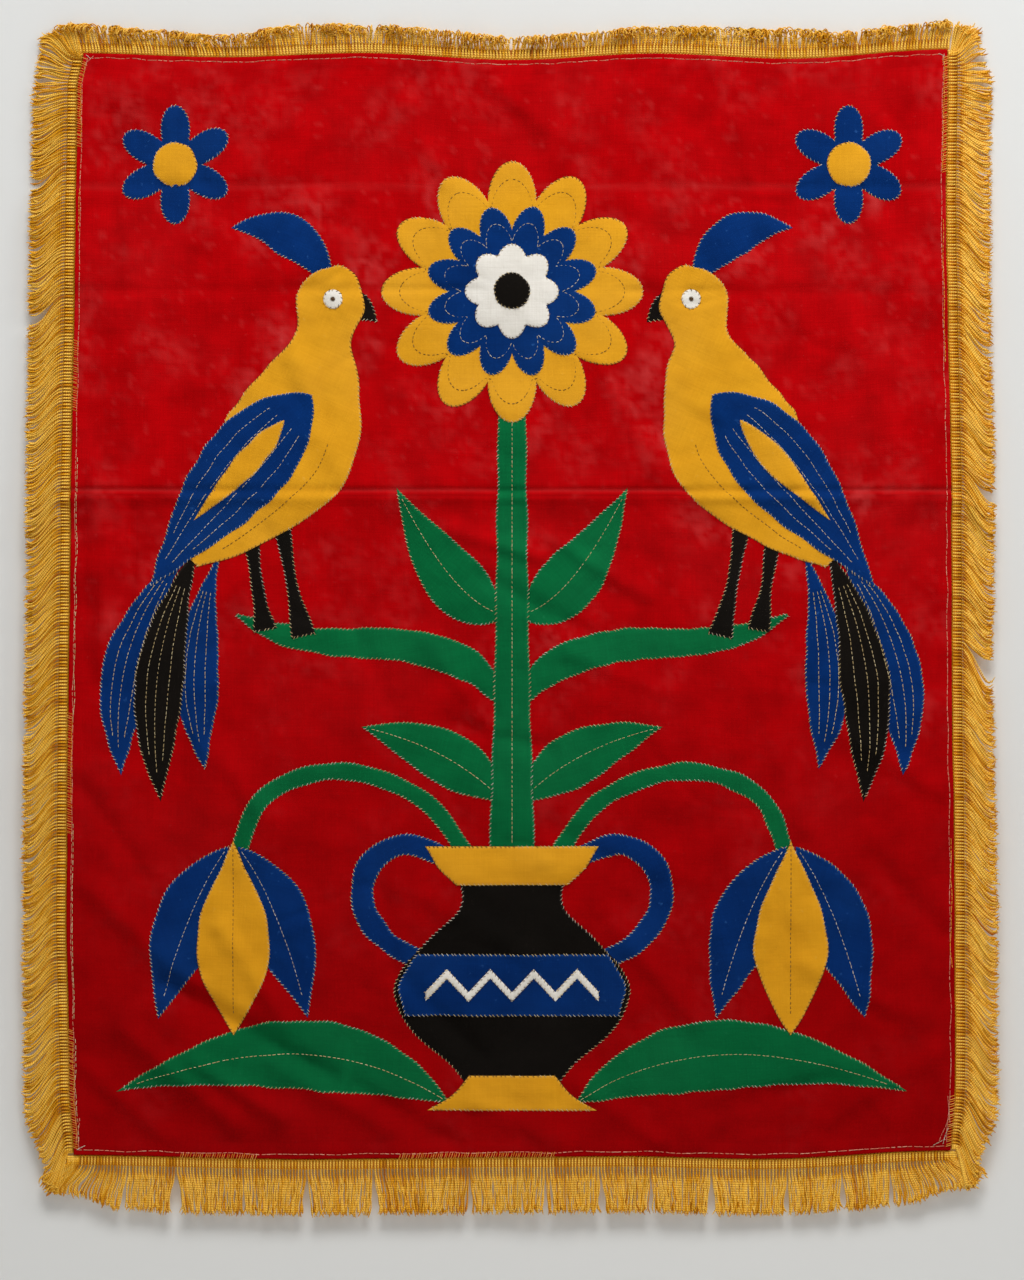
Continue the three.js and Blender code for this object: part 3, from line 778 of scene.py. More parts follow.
@dataclass
class Surface:
    """Points on a grid of two parameters, with the flat place of each and values for the finish."""

    points: Array
    flat: Array
    values: dict[str, Array] = field(default_factory=dict)
    closed: bool = False

    def faces(self) -> Array:
        """The grid's faces.

        Returns:
            Four point numbers for each face, going round it as seen from the front.
        """
        rows, columns = self.points.shape[:2]
        index = np.arange(rows * columns).reshape(rows, columns)
        if self.closed:
            index = np.vstack([index, index[:1]])
        corners = [index[:-1, :-1], index[1:, :-1], index[1:, 1:], index[:-1, 1:]]
        return np.stack(corners, axis=-1).reshape(-1, 4)

    def facing_front(self) -> "Surface":
        """Turns the surface round where its faces look at the wall.

        Returns:
            The surface, its faces looking out.
        """
        middle = self.points[len(self.points) // 2]
        first = self.points[len(self.points) // 2 + 1, 0] - middle[0]
        second = middle[-1] - middle[0]
        if np.cross(first, second)[1] <= 0:
            return self
        flipped = {key: column[:, ::-1] for key, column in self.values.items()}
        return Surface(self.points[:, ::-1], self.flat[:, ::-1], flipped, self.closed)


def make_mesh(
    name: str, points: Array, faces: Array, flat: Array, values: dict[str, Array]
) -> bpy.types.Object:
    """Puts arrays into a mesh object with smooth faces.

    Args:
        name: the object's name.
        points: places in metres, a row each.
        faces: four point numbers for each face.
        flat: the UV map, for each point or for each face's corners: places on the flat cloth, or
            metres along a yarn and turns round it.
        values: numbers for each point, kept as attributes by name.

    Returns:
        The object, linked to the scene.
    """
    mesh = bpy.data.meshes.new(name)
    mesh.vertices.add(len(points))
    mesh.vertices.foreach_set("co", points.astype(np.float32).ravel())
    mesh.loops.add(faces.size)
    mesh.loops.foreach_set("vertex_index", faces.astype(np.int32).ravel())
    mesh.polygons.add(len(faces))
    mesh.polygons.foreach_set("loop_start", np.arange(0, faces.size, 4, dtype=np.int32))
    mesh.polygons.foreach_set("use_smooth", np.ones(len(faces), bool))
    uv = mesh.uv_layers.new(name="cloth")
    corners = flat if flat.ndim == 3 else flat[faces]
    uv.data.foreach_set("uv", corners.astype(np.float32).ravel())
    for key, column in values.items():
        mesh.attributes.new(key, "FLOAT", "POINT").data.foreach_set("value", column.astype(np.float32))
    mesh.update(calc_edges=True)
    mesh.validate()
    made = bpy.data.objects.new(name, mesh)
    bpy.context.scene.collection.objects.link(made)
    return made


def make_surface(name: str, surface: Surface, merge: bool = False) -> bpy.types.Object:
    """Makes a surface's mesh.

    Args:
        name: the object's name.
        surface: the grid.
        merge: True joins points that fall together, as at a tip or a pole.

    Returns:
        The object.
    """
    count = surface.points.shape[0] * surface.points.shape[1]
    values = {key: column.reshape(count) for key, column in surface.values.items()}
    flat = surface.flat.reshape(count, 2)
    made = make_mesh(name, surface.points.reshape(count, 3), surface.faces(), flat, values)
    if merge:
        work = bmesh.new()
        work.from_mesh(made.data)
        bmesh.ops.remove_doubles(work, verts=work.verts, dist=2e-6)
        work.to_mesh(made.data)
        work.free()
    return made


@dataclass
class Tubes:
    """Many tubes of one kind in one mesh, each a ring of sides carried along its own path."""

    paths: Array
    radii: Array
    sides: int
    across: Array
    tone: Array

    def build(self, name: str) -> bpy.types.Object:
        """Makes the mesh. Each ring is square to its path: one way is across the path and the
        given direction, the other is square to both, and the ring goes round the two.

        Args:
            name: the object's name.

        Returns:
            The object, its UV map holding metres along each path and the share round it.
        """
        count, steps, _ = self.paths.shape
        way = np.gradient(self.paths, axis=1)
        way /= np.linalg.norm(way, axis=2, keepdims=True) + 1e-12
        first = np.cross(way, np.broadcast_to(self.across, way.shape))
        first /= np.linalg.norm(first, axis=2, keepdims=True) + 1e-9
        second = np.cross(way, first)
        angle = np.linspace(0, 2 * math.pi, self.sides, endpoint=False)
        ring = first[:, :, None] * np.cos(angle)[:, None] + second[:, :, None] * np.sin(angle)[:, None]
        radii = np.broadcast_to(self.radii, (count, steps))
        points = self.paths[:, :, None] + ring * radii[:, :, None, None]
        index = np.arange(count * steps * self.sides).reshape(count, steps, self.sides)
        after = np.roll(index, -1, axis=2)
        corners = [index[:, :-1], after[:, :-1], after[:, 1:], index[:, 1:]]
        faces = np.stack(corners, axis=-1).reshape(-1, 4)
        length = np.linalg.norm(np.diff(self.paths, axis=1), axis=2)
        along = np.concatenate([np.zeros((count, 1)), np.cumsum(length, axis=1)], axis=1)
        turn = np.arange(self.sides) / self.sides
        near, far = along[:, :-1, None], along[:, 1:, None]
        pairs = [(near, turn), (near, turn + 1 / self.sides), (far, turn + 1 / self.sides), (far, turn)]
        shape = (count, steps - 1, self.sides)
        flat = np.stack([np.stack([np.broadcast_to(v, shape) for v in pair], -1) for pair in pairs], -2)
        tone = self.tone if self.tone.ndim == 2 else self.tone[:, None]
        tone = np.broadcast_to(tone[:, :, None], (count, steps, self.sides)).reshape(-1)
        return make_mesh(name, points.reshape(-1, 3), faces, flat.reshape(-1, 4, 2), {"tone": tone})


def dress(piece: bpy.types.Object, finish: Cotton | TwistedYarn, replaced: tuple[str, ...] = ()) -> None:
    """Gives a piece its finish, rides it on the flag and hides the part's nodes that it stands for.

    Args:
        piece: the object.
        finish: its finish.
        replaced: the part's nodes that it stands for.
    """
    piece.data.materials.append(finish.material())
    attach(piece, BODY)
    if replaced:
        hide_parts(*replaced)
    log.info("%s: %d faces", piece.name, len(piece.data.polygons))


# Grid lines by their distance inside the hem's fold, below 0 on the part that has turned to the back
HEM_LINES = (-HEM, -9, -4, -HEM_BEND, 0, HEM_BEND, 2.2, 3.5, HEM_STITCH, 5.9, 7.4, 9.5, 12, HEM, 16)


@dataclass
class Panel:
    """The red ground cloth: one sheet with its hems turned to the back."""

    hanging: Hanging
    finish: Cotton = Cloth.RED.value

    def lines(self, half: float, extra: Array) -> Array:
        """Grid lines from one cut edge to the other, closer at the hems' folds and stitches.

        Args:
            half: half the finished size, in millimetres.
            extra: more lines, where a crease is sharp.

        Returns:
            Distances from the middle, rising, past half where the hem lies behind.
        """
        near = np.array(HEM_LINES)
        inner = half - near[-1] - PITCH_OF_GRID / 2
        count = int(2 * inner / PITCH_OF_GRID)
        middle = np.linspace(-inner, inner, count)
        if len(extra):
            clear = np.abs(middle[:, None] - extra[None, :]).min(axis=1) > 1.2
            middle = np.sort(np.concatenate([middle[clear], extra]))
        return np.concatenate([-(half - near), middle, (half - near)[::-1]])

    @staticmethod
    def inset(line: Array, half: float) -> Array:
        """How far a line lies inside the folded edge, on either side of the cloth."""
        return np.abs(half - np.abs(line))

    @staticmethod
    def drop(line: Array, half: float) -> Array:
        """How far a line has turned to the back: eased over the fold's bend."""
        return HEM_DROP * smooth((np.abs(line) - half + HEM_BEND) / (2 * HEM_BEND))

    def hem_relief(self, inset: Array) -> Array:
        """The hem's own relief: two layers thick, and drawn in along its stitches.

        Args:
            inset: distances inside the fold.

        Returns:
            Heights above the plain cloth.
        """
        step = 0.35 * (1 - smooth((inset - HEM + 2) / 4))
        groove = -0.55 * bell(inset, HEM_STITCH, 1.5)
        return step + groove

    def surface(self) -> Surface:
        """The sheet: each grid line's place on the panel, in front of the wall by the hanging
        shape, less what has turned to the back, plus the hems' relief.

        Returns:
            The sheet's surface, a little lower where shapes lie on it.
        """
        across_lines = self.lines(CLOTH_WIDTH / 2, np.array([]))
        down_lines = self.lines(CLOTH_HEIGHT / 2, np.arange(*PRESSED_LINES) - MIDDLE_DEPTH)
        u, v = np.meshgrid(across_lines, down_lines)
        inset_u = self.inset(u, CLOTH_WIDTH / 2)
        inset_v = self.inset(v, CLOTH_HEIGHT / 2)
        across = 0.5 + np.sign(u) * (CLOTH_WIDTH / 2 - inset_u) / CLOTH_WIDTH
        depth = MIDDLE_DEPTH + np.sign(v) * (CLOTH_HEIGHT / 2 - inset_v)
        x, z = self.hanging.on_panel(across, depth)
        drop = self.drop(u, CLOTH_WIDTH / 2) + self.drop(v, CLOTH_HEIGHT / 2)
        front = (np.abs(u) <= CLOTH_WIDTH / 2) & (np.abs(v) <= CLOTH_HEIGHT / 2)
        relief = self.hem_relief(np.minimum(inset_u, inset_v))
        raster = self.hanging.raster
        under = raster.sample(self.hanging.under, x, z)
        distance = CLOTH_FRONT - drop + np.where(front, relief, 0) - UNDER_SHAPES * under
        points = self.hanging.place(x, z, distance)
        flat = np.stack([u, v], axis=-1) * MM
        return Surface(points, flat, {"worn": self.worn(x, z), "soil": self.darker_low_with_crease_shade(z)})

    def worn(self, x: Array, z: Array) -> Array:
        """Where the dye has gone pale: a haze round the shapes in the upper half, along the
        pressed creases, and in a few faint clouds.

        Args:
            x: places across, in millimetres.
            z: heights.

        Returns:
            Shares of wear.
        """
        raster = self.hanging.raster
        sewn = (self.hanging.layer > 0).astype(float)
        haze = np.clip(0.35 + 1.6 * raster.soften(sewn, 24), 0, 1)
        clouds = np.clip(0.15 + 0.7 * raster.noise(15, 31), 0, 1.6)
        grain = np.clip(0.7 + 0.7 * raster.noise(2.5, 33), 0, 2)
        scuff = np.clip(raster.noise(2.5, 32) - 1.4, 0, 1.2)
        upper = smooth((z + 820) / 560)
        amount = raster.sample(haze * (clouds * grain), x, z) * (0.03 + 0.2 * upper)
        crease = 0.2 * bell(-z, PRESSED_LOWER, 1.9) + 0.12 * bell(-z, PRESSED_UPPER, 3)
        return np.clip(amount + crease + 0.14 * raster.sample(scuff, x, z) * upper, 0, 0.8)

    def darker_low_with_crease_shade(self, z: Array) -> Array:
        """How much darker the cloth is drawn: more of it towards the bottom, and a painted shade line along
        the fold that was pressed across it.
        """
        # A painted shade line just below the lower pressed crease
        return np.clip(self.hanging.soil(z) + 0.5 * bell(z, -PRESSED_SHADE, 1.5), 0, 0.9)

    def build(self) -> bpy.types.Object:
        """Makes the sheet.

        Returns:
            The object.
        """
        piece = make_surface("red_panel", self.surface())
        dress(piece, self.finish, ("ground_cloth",))
        return piece


class Mirror(Enum):
    """Which half of the panel a shape is on: the sign of its x."""

    RIGHT = 1
    LEFT = -1


# Distances from a shape's edge at which grid lines run, in millimetres
EDGE_LINES = np.array([0.0, 0.28, 0.8, 1.7, 3.2])
EDGE_BAND = 4.2
ALONG_PITCH = 2.3
ACROSS_PITCH = 6.0
RING_PITCH = 9.0


def wobble(share: Array, length: float, size: float, seed: int) -> Array:
    """A hand's unevenness along a line: sines of random phase, from 25 to 90 mm long.

    Args:
        share: shares of the line.
        length: its length in millimetres.
        size: how far it strays.
        seed: for the sines.

    Returns:
        How far each share strays, in millimetres.
    """
    rng = np.random.default_rng(seed)
    waves = length / rng.uniform(25, 90, 5)
    phases = rng.uniform(0, 2 * math.pi, 5)
    angles = 2 * math.pi * np.outer(np.atleast_1d(share), waves) + phases
    return size * np.sin(angles).mean(axis=1) * 1.6


def spaced(length: float, ends: bool) -> Array:
    """Shares along a line, even in the middle and close at ends that are sewn edges.

    Args:
        length: the line's length in millimetres.
        ends: True where the line's ends are edges of the shape.

    Returns:
        Rising shares from 0 to 1.
    """
    count = max(int(length / ALONG_PITCH), 8)
    if not ends:
        return np.linspace(0, 1, count)
    near = EDGE_LINES / length
    return np.concatenate([near[:-1], np.linspace(near[-1], 1 - near[-1], count), 1 - near[:-1][::-1]])


@dataclass
class Shape:
    """One cotton shape sewn on: where it is, its cloth and its layer. A kind of shape adds its
    own middle line and width."""

    name: str
    cloth: Cloth
    layer: int
    mirror: Mirror | None
    seed: int
    turn: float = 0.0

    @property
    def side(self) -> int:
        """1 on the right half or in the middle, -1 on the left half."""
        return 1 if self.mirror is None else self.mirror.value

    @property
    def node_name(self) -> str:
        """The part's node that the shape stands for."""
        return self.name if self.mirror is None else f"{self.name}_{self.mirror.name.lower()}"

    def grid(self) -> tuple[Array, Array, bool]:
        """The shape's grid as x and y from the panel's middle, each point's distance inside the
        edge, and whether the grid closes on itself. Each kind of shape has its own."""
        raise NotImplementedError

    def outline(self) -> Array:
        """The shape's outline as x and y from the panel's middle: up one side and down the other."""
        places, _, _ = self.grid()
        return np.concatenate([places[:, 0], places[::-1, -1]])

    def cut(self) -> tuple[float, float]:
        """Width and length of the cloth that the shape is cut from, in millimetres."""
        raise NotImplementedError

    def hung(self, places: Array) -> tuple[Array, Array]:
        """x and z in millimetres of places given from the panel's middle."""
        return self.side * places[..., 0], places[..., 1] - MIDDLE_DEPTH

    def hung_outline(self) -> Array:
        """The outline as x and z."""
        return np.stack(self.hung(self.outline()), axis=-1)


def band_grid(middle: Array, half: Array, ends: bool) -> tuple[Array, Array]:
    """A band as a grid: lines at set distances inside each edge, and even ones between.

    Each point is the middle line's point moved along its normal by the half width less the
    distance inside the edge. Where the band is narrow those distances shrink with it.

    Args:
        middle: points on the middle line.
        half: the half width at each.
        ends: True where the band's two ends are edges too.

    Returns:
        The grid of places, and each place's distance inside the nearest edge.
    """
    shrink = np.minimum(1, half / EDGE_BAND)[:, None]
    near = EDGE_LINES[None, :] * shrink
    count = max(int(np.ceil(half.max() / ACROSS_PITCH)), 2)
    steps = np.arange(1, count + 1) / count
    inner = near[:, -1:] + (half[:, None] - near[:, -1:]) * steps[None, :]
    inside = np.concatenate([near, inner], axis=1)
    offset = half[:, None] - inside
    offsets = np.concatenate([offset, -offset[:, -2::-1]], axis=1)
    distance = np.concatenate([inside, inside[:, -2::-1]], axis=1)
    places = middle[:, None] + normals(middle)[:, None] * offsets[:, :, None]
    if ends:
        length = lengths_along(middle)
        from_end = np.minimum(length, length[-1] - length)
        distance = np.minimum(distance, from_end[:, None])
    return places, distance


@dataclass
class Leaf(Shape):
    """A leaf: a parabola through root, bend and tip, its width rising and falling as half a sine."""

    half: float = 10.0
    widest: float = 0.5
    root: tuple[float, float] = (0, 0)
    bend: tuple[float, float] = (0, 0)
    tip: tuple[float, float] = (0, 0)

    def spine(self, t: Array) -> Array:
        """Points on the parabola at shares of the way from root to tip."""
        weights = np.stack([(1 - t) * (1 - 2 * t), 4 * t * (1 - t), t * (2 * t - 1)], axis=1)
        return weights @ np.array([self.root, self.bend, self.tip], float)

    def length(self) -> float:
        """The middle line's length in millimetres."""
        return float(np.linalg.norm(np.diff(self.spine(np.linspace(0, 1, 60)), axis=0), axis=1).sum())

    def line(self) -> tuple[Array, Array]:
        """The middle line, its points closer together towards the two ends.

        Returns:
            The points, and the half width at each.
        """
        count = int(self.length() / ALONG_PITCH)
        even = np.linspace(0.004, 0.996, count)
        t = 0.5 - 0.5 * np.cos(math.pi * even) * (0.35 + 0.65 * np.abs(np.cos(math.pi * even)))
        skew = math.log(0.5) / math.log(self.widest)
        half = self.half * np.sin(math.pi * t**skew)
        uneven = wobble(t, self.length(), 0.9, self.seed) * np.minimum(1, half / 6)
        return self.spine(t), np.maximum(half + uneven, 0.05)

    def grid(self) -> tuple[Array, Array, bool]:
        """The leaf's grid, as Shape.grid says."""
        places, distance = band_grid(*self.line(), ends=False)
        return places, distance, False

    def cut(self) -> tuple[float, float]:
        """The leaf's greatest width and its length."""
        return 2 * self.half, self.length()


@dataclass
class Band(Shape):
    """A band: one smooth curve through its sections carries the middle line and the half width."""

    sections: Table = field(default_factory=dict)

    def knots(self) -> Array:
        """The sections with one more before the first and one after the last, in line with them."""
        rows = np.stack([self.sections[key] for key in ("x", "y", "half")], axis=1)
        return np.vstack([2 * rows[0] - rows[1], rows, 2 * rows[-1] - rows[-2]])

    def curve(self, t: Array) -> Array:
        """The curve: between two sections, a cubic with half their neighbours' chord as its slope
        at each end.

        Args:
            t: shares of the way from the first section to the last.

        Returns:
            x, y and half width at each.
        """
        knots = self.knots()
        spans = len(knots) - 3
        at = np.clip(t, 0, 1) * spans
        i = np.minimum(at.astype(int), spans - 1)
        f = (at - i)[:, None]
        a, b, c, d = knots[i], knots[i + 1], knots[i + 2], knots[i + 3]
        square = 2 * a - 5 * b + 4 * c - d
        cube = -a + 3 * b - 3 * c + d
        return 0.5 * (2 * b + (c - a) * f + square * f**2 + cube * f**3)

    def length(self) -> float:
        """The middle line's length in millimetres."""
        points = self.curve(np.linspace(0, 1, 120))[:, :2]
        return float(np.linalg.norm(np.diff(points, axis=0), axis=1).sum())

    def line(self) -> tuple[Array, Array]:
        """The middle line, its points evenly spaced but for the two ends.

        Returns:
            The points, and the half width at each.
        """
        t = np.linspace(0, 1, 400)
        points = self.curve(t)[:, :2]
        length = lengths_along(points)
        shares = spaced(length[-1], ends=True)
        fitted = self.curve(np.interp(shares * length[-1], length, t))
        half = fitted[:, 2]
        uneven = wobble(shares, length[-1], 0.8, self.seed) * np.minimum(1, half / 8)
        return fitted[:, :2], np.maximum(half + uneven, 0.4)

    def grid(self) -> tuple[Array, Array, bool]:
        """The band's grid, as Shape.grid says."""
        places, distance = band_grid(*self.line(), ends=True)
        return places, distance, False

    def outline(self) -> Array:
        """The band's outline, with its two straight ends filled in."""
        places, _, _ = self.grid()
        return np.concatenate([places[:, 0], places[-1, 1:-1], places[::-1, -1], places[0, -2:0:-1]])

    def cut(self) -> tuple[float, float]:
        """The band's greatest width and its length."""
        return 2 * float(self.sections["half"].max()), self.length()


@dataclass
class Rosette(Shape):
    """A round shape with lobes: its radius swings between waist and reach once for each lobe."""

    x: float = 0.0
    y: float = 0.0
    reach: float = 10.0
    waist: float = 10.0
    lobes: int = 4
    twist: float = 0.0
    roundness: float = 1.0

    def radius(self, angle: Array) -> Array:
        """The radius, with a little unevenness that meets itself all round.

        Args:
            angle: clockwise from the top, in radians.

        Returns:
            The radius at each angle.
        """
        swing = np.abs(np.cos(self.lobes * (angle - math.radians(self.twist)) / 2))
        rng = np.random.default_rng(self.seed)
        uneven = sum(
            rng.uniform(0.1, 0.4) * np.sin(k * angle + rng.uniform(0, 2 * math.pi)) for k in (2, 3, 5, 7)
        )
        return lerp(self.waist, self.reach, swing**self.roundness) + uneven * min(1, self.reach / 30)

    def grid(self) -> tuple[Array, Array, bool]:
        """The rosette's grid: rings at set distances inside the edge, then even ones inward.

        Returns:
            As Shape.grid says.
        """
        around = int(2 * math.pi * self.reach * 1.1 / ALONG_PITCH)
        angle = np.linspace(0, 2 * math.pi, max(around, 24), endpoint=False)
        radius = self.radius(angle)
        shrink = min(1, self.waist / EDGE_BAND / 2)
        near = np.broadcast_to(EDGE_LINES * shrink, (len(angle), len(EDGE_LINES)))
        count = max(int(np.ceil(self.reach / RING_PITCH)), 2)
        steps = np.arange(1, count + 1) / count
        inner = near[:, -1:] + (radius[:, None] - near[:, -1:]) * steps[None, :]
        distance = np.concatenate([near, inner], axis=1)
        out = (radius[:, None] - distance)[:, :, None]
        ways = np.stack([np.sin(angle), np.cos(angle)], axis=1)[:, None]
        return np.array([self.x, self.y]) + out * ways, distance, True

    def outline(self) -> Array:
        """The rosette's outline."""
        return self.grid()[0][:, 0]

    def cut(self) -> tuple[float, float]:
        """The square that holds the rosette."""
        return 2 * self.reach, 2 * self.reach


@dataclass
class Zigzag(Shape):
    """A zigzag strip: even steps up and down, of even height from its lower to its upper edge."""

    y: float = -390.0
    rise: float = 12.0
    half: float = 5.0
    spread: float = 90.0
    turns: int = 8

    def grid(self) -> tuple[Array, Array, bool]:
        """The strip's grid: lines a set height above and below a folded line.

        Returns:
            As Shape.grid says.
        """
        share = np.linspace(0, 1, self.turns * 14 + 1)
        fold = np.abs((share * self.turns) % 2 - 1)
        middle = np.stack([lerp(-self.spread, self.spread, share), self.y + self.rise * (1 - 2 * fold)], 1)
        near = EDGE_LINES[:-1]
        inside = np.concatenate([near, np.linspace(3.0, self.half, 2)])
        offset = self.half - inside
        offsets = np.concatenate([offset, -offset[-2::-1]])
        distance = np.concatenate([inside, inside[-2::-1]])
        # The strip runs on a slope, so a place's nearest edge is nearer than the one above or below
        lean = 0.68
        places = middle[:, None] + np.stack([0 * offsets, offsets], axis=1)[None]
        from_end = (self.spread - np.abs(middle[:, 0]))[:, None]
        return places, np.minimum(np.broadcast_to(distance * lean, places.shape[:2]), from_end), False

    def cut(self) -> tuple[float, float]:
        """The strip's height, and its length along the steps."""
        step = math.hypot(2 * self.spread / self.turns, 2 * self.rise)
        return 2 * self.half, self.turns * step


# Leaf shapes on the right half: cloth, layer, half width and where it is widest, the middle line's
# root, bend and tip, and the grain's turn
LEAVES = (
    ("leaf_upper", Cloth.GREEN, 1, 31, 0.45, (8, -6), (62, 32), (120, 126), 40),
    ("leaf_lower", Cloth.GREEN, 1, 28, 0.45, (8, -200), (72, -152), (156, -122), 15),
    ("leaf_base", Cloth.GREEN, 1, 36, 0.45, (66, -512), (222, -462), (410, -500), 4),
    ("bell_inner", Cloth.BLUE, 2, 34, 0.5, (284, -246), (244, -320), (212, -424), 12),
    ("bell_outer", Cloth.BLUE, 2, 34, 0.5, (294, -246), (334, -320), (366, -424), -14),
    ("bell_middle", Cloth.YELLOW, 3, 38, 0.55, (289, -240), (289, -338), (289, -442), 3),
    ("tail_outer", Cloth.BLUE, 1, 25, 0.6, (326, 74), (392, -38), (404, -172), 18),
    ("tail_inner", Cloth.BLUE, 1, 23, 0.6, (300, 66), (326, -46), (318, -166), -8),
    ("tail_middle", Cloth.BLACK, 2, 25, 0.6, (318, 78), (362, -50), (364, -200), 5),
    ("beak", Cloth.BLACK, 1, 14, 0.3, (180, 326), (156, 312), (140, 298), 30),
    ("crest", Cloth.BLUE, 1, 22, 0.5, (186, 330), (228, 386), (292, 396), 22),
    ("wing", Cloth.BLUE, 4, 45, 0.4, (208, 222), (290, 134), (376, 22), -35),
    ("wing_bar", Cloth.YELLOW, 5, 13, 0.45, (236, 196), (276, 150), (330, 92), 10),
)

# Sections of the longer bands: points on the middle line with a half width
BRANCH = ((9, -94, 7), (46, -58, 17), (110, -38, 17), (190, -34, 14), (246, -24, 10), (286, -6, 1.5))
STEM = ((38, -268, 9), (92, -198, 9), (178, -168, 9), (256, -194, 9), (289, -266, 9))
HANDLE = ((66, -258, 10), (112, -244, 11), (148, -266, 12), (154, -308, 12), (130, -344, 11), (92, -366, 10))
BIRD_FRONT = ((178, 357, 3), (180, 346, 22), (188, 320, 36), (196, 282, 29))
BIRD_BACK = ((206, 238, 50), (234, 167, 70), (290, 96, 42), (334, 52, 12))
VASE_NECK = ((0, -262, 64), (0, -306, 52), (0, -350, 94))
VASE_BELLY = ((0, -392, 122), (0, -438, 104), (0, -474, 62), (0, -502, 42))

# Band shapes: cloth, layer, whether there are two, the grain's turn and the sections
BANDS = (
    ("branch", Cloth.GREEN, 1, True, 8, BRANCH),
    ("stem_arched", Cloth.GREEN, 1, True, 0, STEM),
    ("handle", Cloth.BLUE, 1, True, 20, HANDLE),
    ("leg_front", Cloth.BLACK, 2, True, 0, ((240, 96, 9), (228, 24, 6), (216, -28, 13))),
    ("leg_back", Cloth.BLACK, 2, True, 0, ((272, 84, 9), (264, 24, 6), (256, -22, 12))),
    ("bird_body", Cloth.YELLOW, 3, True, -24, BIRD_FRONT + BIRD_BACK),
    ("trunk", Cloth.GREEN, 2, False, 2, ((0, -268, 24), (0, -60, 18), (0, 235, 14))),
    ("vase_body", Cloth.BLACK, 3, False, 0, VASE_NECK + VASE_BELLY),
    ("vase_foot", Cloth.YELLOW, 4, False, 0, ((0, -484, 44), (0, -504, 62), (0, -520, 88))),
    ("vase_rim", Cloth.YELLOW, 4, False, 0, ((0, -246, 90), (0, -266, 78), (0, -286, 58))),
    ("vase_band", Cloth.BLUE, 4, False, 0, ((0, -358, 99), (0, -390, 118), (0, -422, 110))),
)

# Round shapes: cloth, layer, whether there are two, place, reach, waist, lobes, twist and roundness
ROSETTES = (
    ("flower_outer", Cloth.YELLOW, 3, False, 0, 330, 136, 97, 12, 0, 0.8),
    ("flower_inner", Cloth.BLUE, 4, False, 0, 330, 90, 64, 12, 15, 0.8),
    ("flower_heart", Cloth.WHITE, 5, False, 0, 330, 49, 38, 8, 0, 1),
    ("flower_eye", Cloth.BLACK, 6, False, 0, 330, 19, 19, 4, 0, 1),
    ("corner_flower", Cloth.BLUE, 1, True, 350, 462, 62, 28, 6, 0, 1.1),
    ("corner_disc", Cloth.YELLOW, 2, True, 350, 462, 23, 23, 4, 0, 1),
    ("bird_eye", Cloth.WHITE, 4, True, 186, 322, 10, 10, 3, 0, 1),
)


